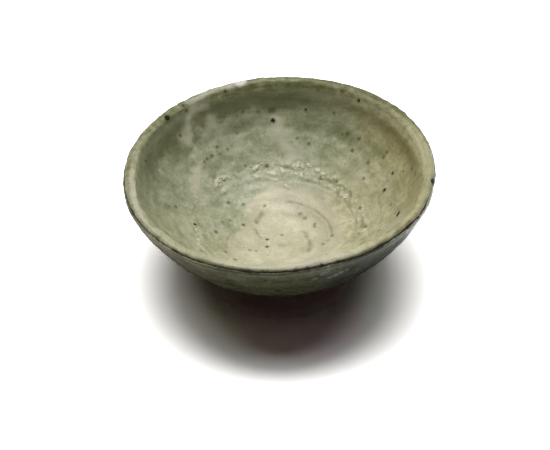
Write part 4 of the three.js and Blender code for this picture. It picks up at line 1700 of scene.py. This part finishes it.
# the table's tone as the glaze mirrors it, as the camera sees it and as it lights the bowl
def makeTableMaterial():
    look = stageLook
    material = bpy.data.materials.new("whiteTable")
    material.use_nodes = True
    tree = material.node_tree
    tree.nodes.clear()
    direct, mirrored = seenBy(tree)
    place = newNode(tree, "ShaderNodeTexCoord").outputs["Object"]
    away = measured(tree, "DISTANCE", place, (0, 0, 0))
    inLight = fade(tree, away, *look["lightFrom"])
    lights = mixColour(tree, inLight, *[grey(level) for level in look["lit"]])
    mirror = mixColour(tree, inLight, *[grey(level) for level in look["mirrored"]])
    toRight = measured(tree, "DOT_PRODUCT", place, look["glareSide"])
    mirror = mixColour(tree, fade(tree, toRight, *look["glareFrom"]), mirror, grey(look["glare"]))
    tone = mixColour(tree, mirrored, lights, mirror)
    under = fade(tree, away, *look["shadeFrom"])
    shown = mixColour(tree, under, colour(*look["seenInPaintedShade"]), colour(*look["seen"]))
    inFront = fade(tree, measured(tree, "DISTANCE", place, look["tintMiddle"]), *look["tintReach"])
    shown = tinted(tree, inFront, shown, colour(*look["shadeTint"]))
    tone = mixColour(tree, direct, tone, shown)
    diffuse = newNode(tree, "ShaderNodeBsdfDiffuse", {"Color": tone})
    newNode(tree, "ShaderNodeOutputMaterial", {0: diffuse.outputs[0]})
    return material


def makeTable():
    look = stageLook
    turns = np.arange(look["tableSides"]) * fullTurn / look["tableSides"]
    radius = look["tableRadius"]
    corners = [(radius * math.cos(turn), radius * math.sin(turn), -look["drop"]) for turn in turns]
    mesh = bpy.data.meshes.new("table")
    mesh.from_pydata(corners, [], [tuple(range(len(corners)))])
    mesh.materials.append(makeTableMaterial())
    table = bpy.data.objects.new("table", mesh)
    bpy.context.scene.collection.objects.link(table)


def makeLight():
    look = stageLook
    away = look["lampAway"]
    direction = np.array(look["lampFrom"]) / np.linalg.norm(look["lampFrom"])
    for width, depth, share in look["lamps"]:
        lamp = bpy.data.lights.new("softbox", "AREA")
        lamp.shape = "ELLIPSE"
        lamp.size, lamp.size_y = width, depth
        # a colour that faces the lamp renders as written
        lamp.energy = (math.pi * away) ** 2 * look["lampSpread"] * share
        softbox = bpy.data.objects.new("softbox", lamp)
        softbox.location = direction * away
        softbox.rotation_euler = (-math.asin(direction[1]), math.atan2(direction[0], direction[2]), 0)
        bpy.context.scene.collection.objects.link(softbox)
    world = bpy.data.worlds.new("whiteRoom")
    world.use_nodes = True
    tree = world.node_tree
    tree.nodes.clear()
    towards = newNode(tree, "ShaderNodeTexCoord").outputs["Generated"]
    height = newNode(tree, "ShaderNodeSeparateXYZ", {0: towards}).outputs[2]
    backdrop = larger(tree, fade(tree, height, *look["horizon"]), look["ceiling"])
    shown = times(tree, larger(tree, *seenBy(tree)), backdrop)
    tone = mixColour(tree, shown, colour(*look["fill"]), grey(1.0))
    sky = newNode(tree, "ShaderNodeBackground", {"Color": tone, "Strength": 1.0})
    newNode(tree, "ShaderNodeOutputWorld", {0: sky.outputs[0]})
    bpy.context.scene.world = world


# the photograph's viewpoint, worked out from the lip's ellipse and the wall's outline
cameraView = {
    "place": (0.0, -0.4667, 0.4321),
    "tilt": 48.754,  # degrees up from looking straight down
    "turn": 0.188,
    "lens": 81.14,
    "sensor": 36.0,
}


def makeCamera():
    look = cameraView
    data = bpy.data.cameras.new("photoView")
    data.sensor_fit = "HORIZONTAL"
    data.sensor_width = look["sensor"]
    data.lens = look["lens"]
    camera = bpy.data.objects.new("photoView", data)
    camera.location = look["place"]
    camera.rotation_euler = (math.radians(look["tilt"]), 0, math.radians(look["turn"]))
    bpy.context.scene.collection.objects.link(camera)
    bpy.context.scene.camera = camera


makeTable()
makeLight()
makeCamera()
bpy.context.scene.view_settings.view_transform = "Standard"
print("set the table, the light and the camera")
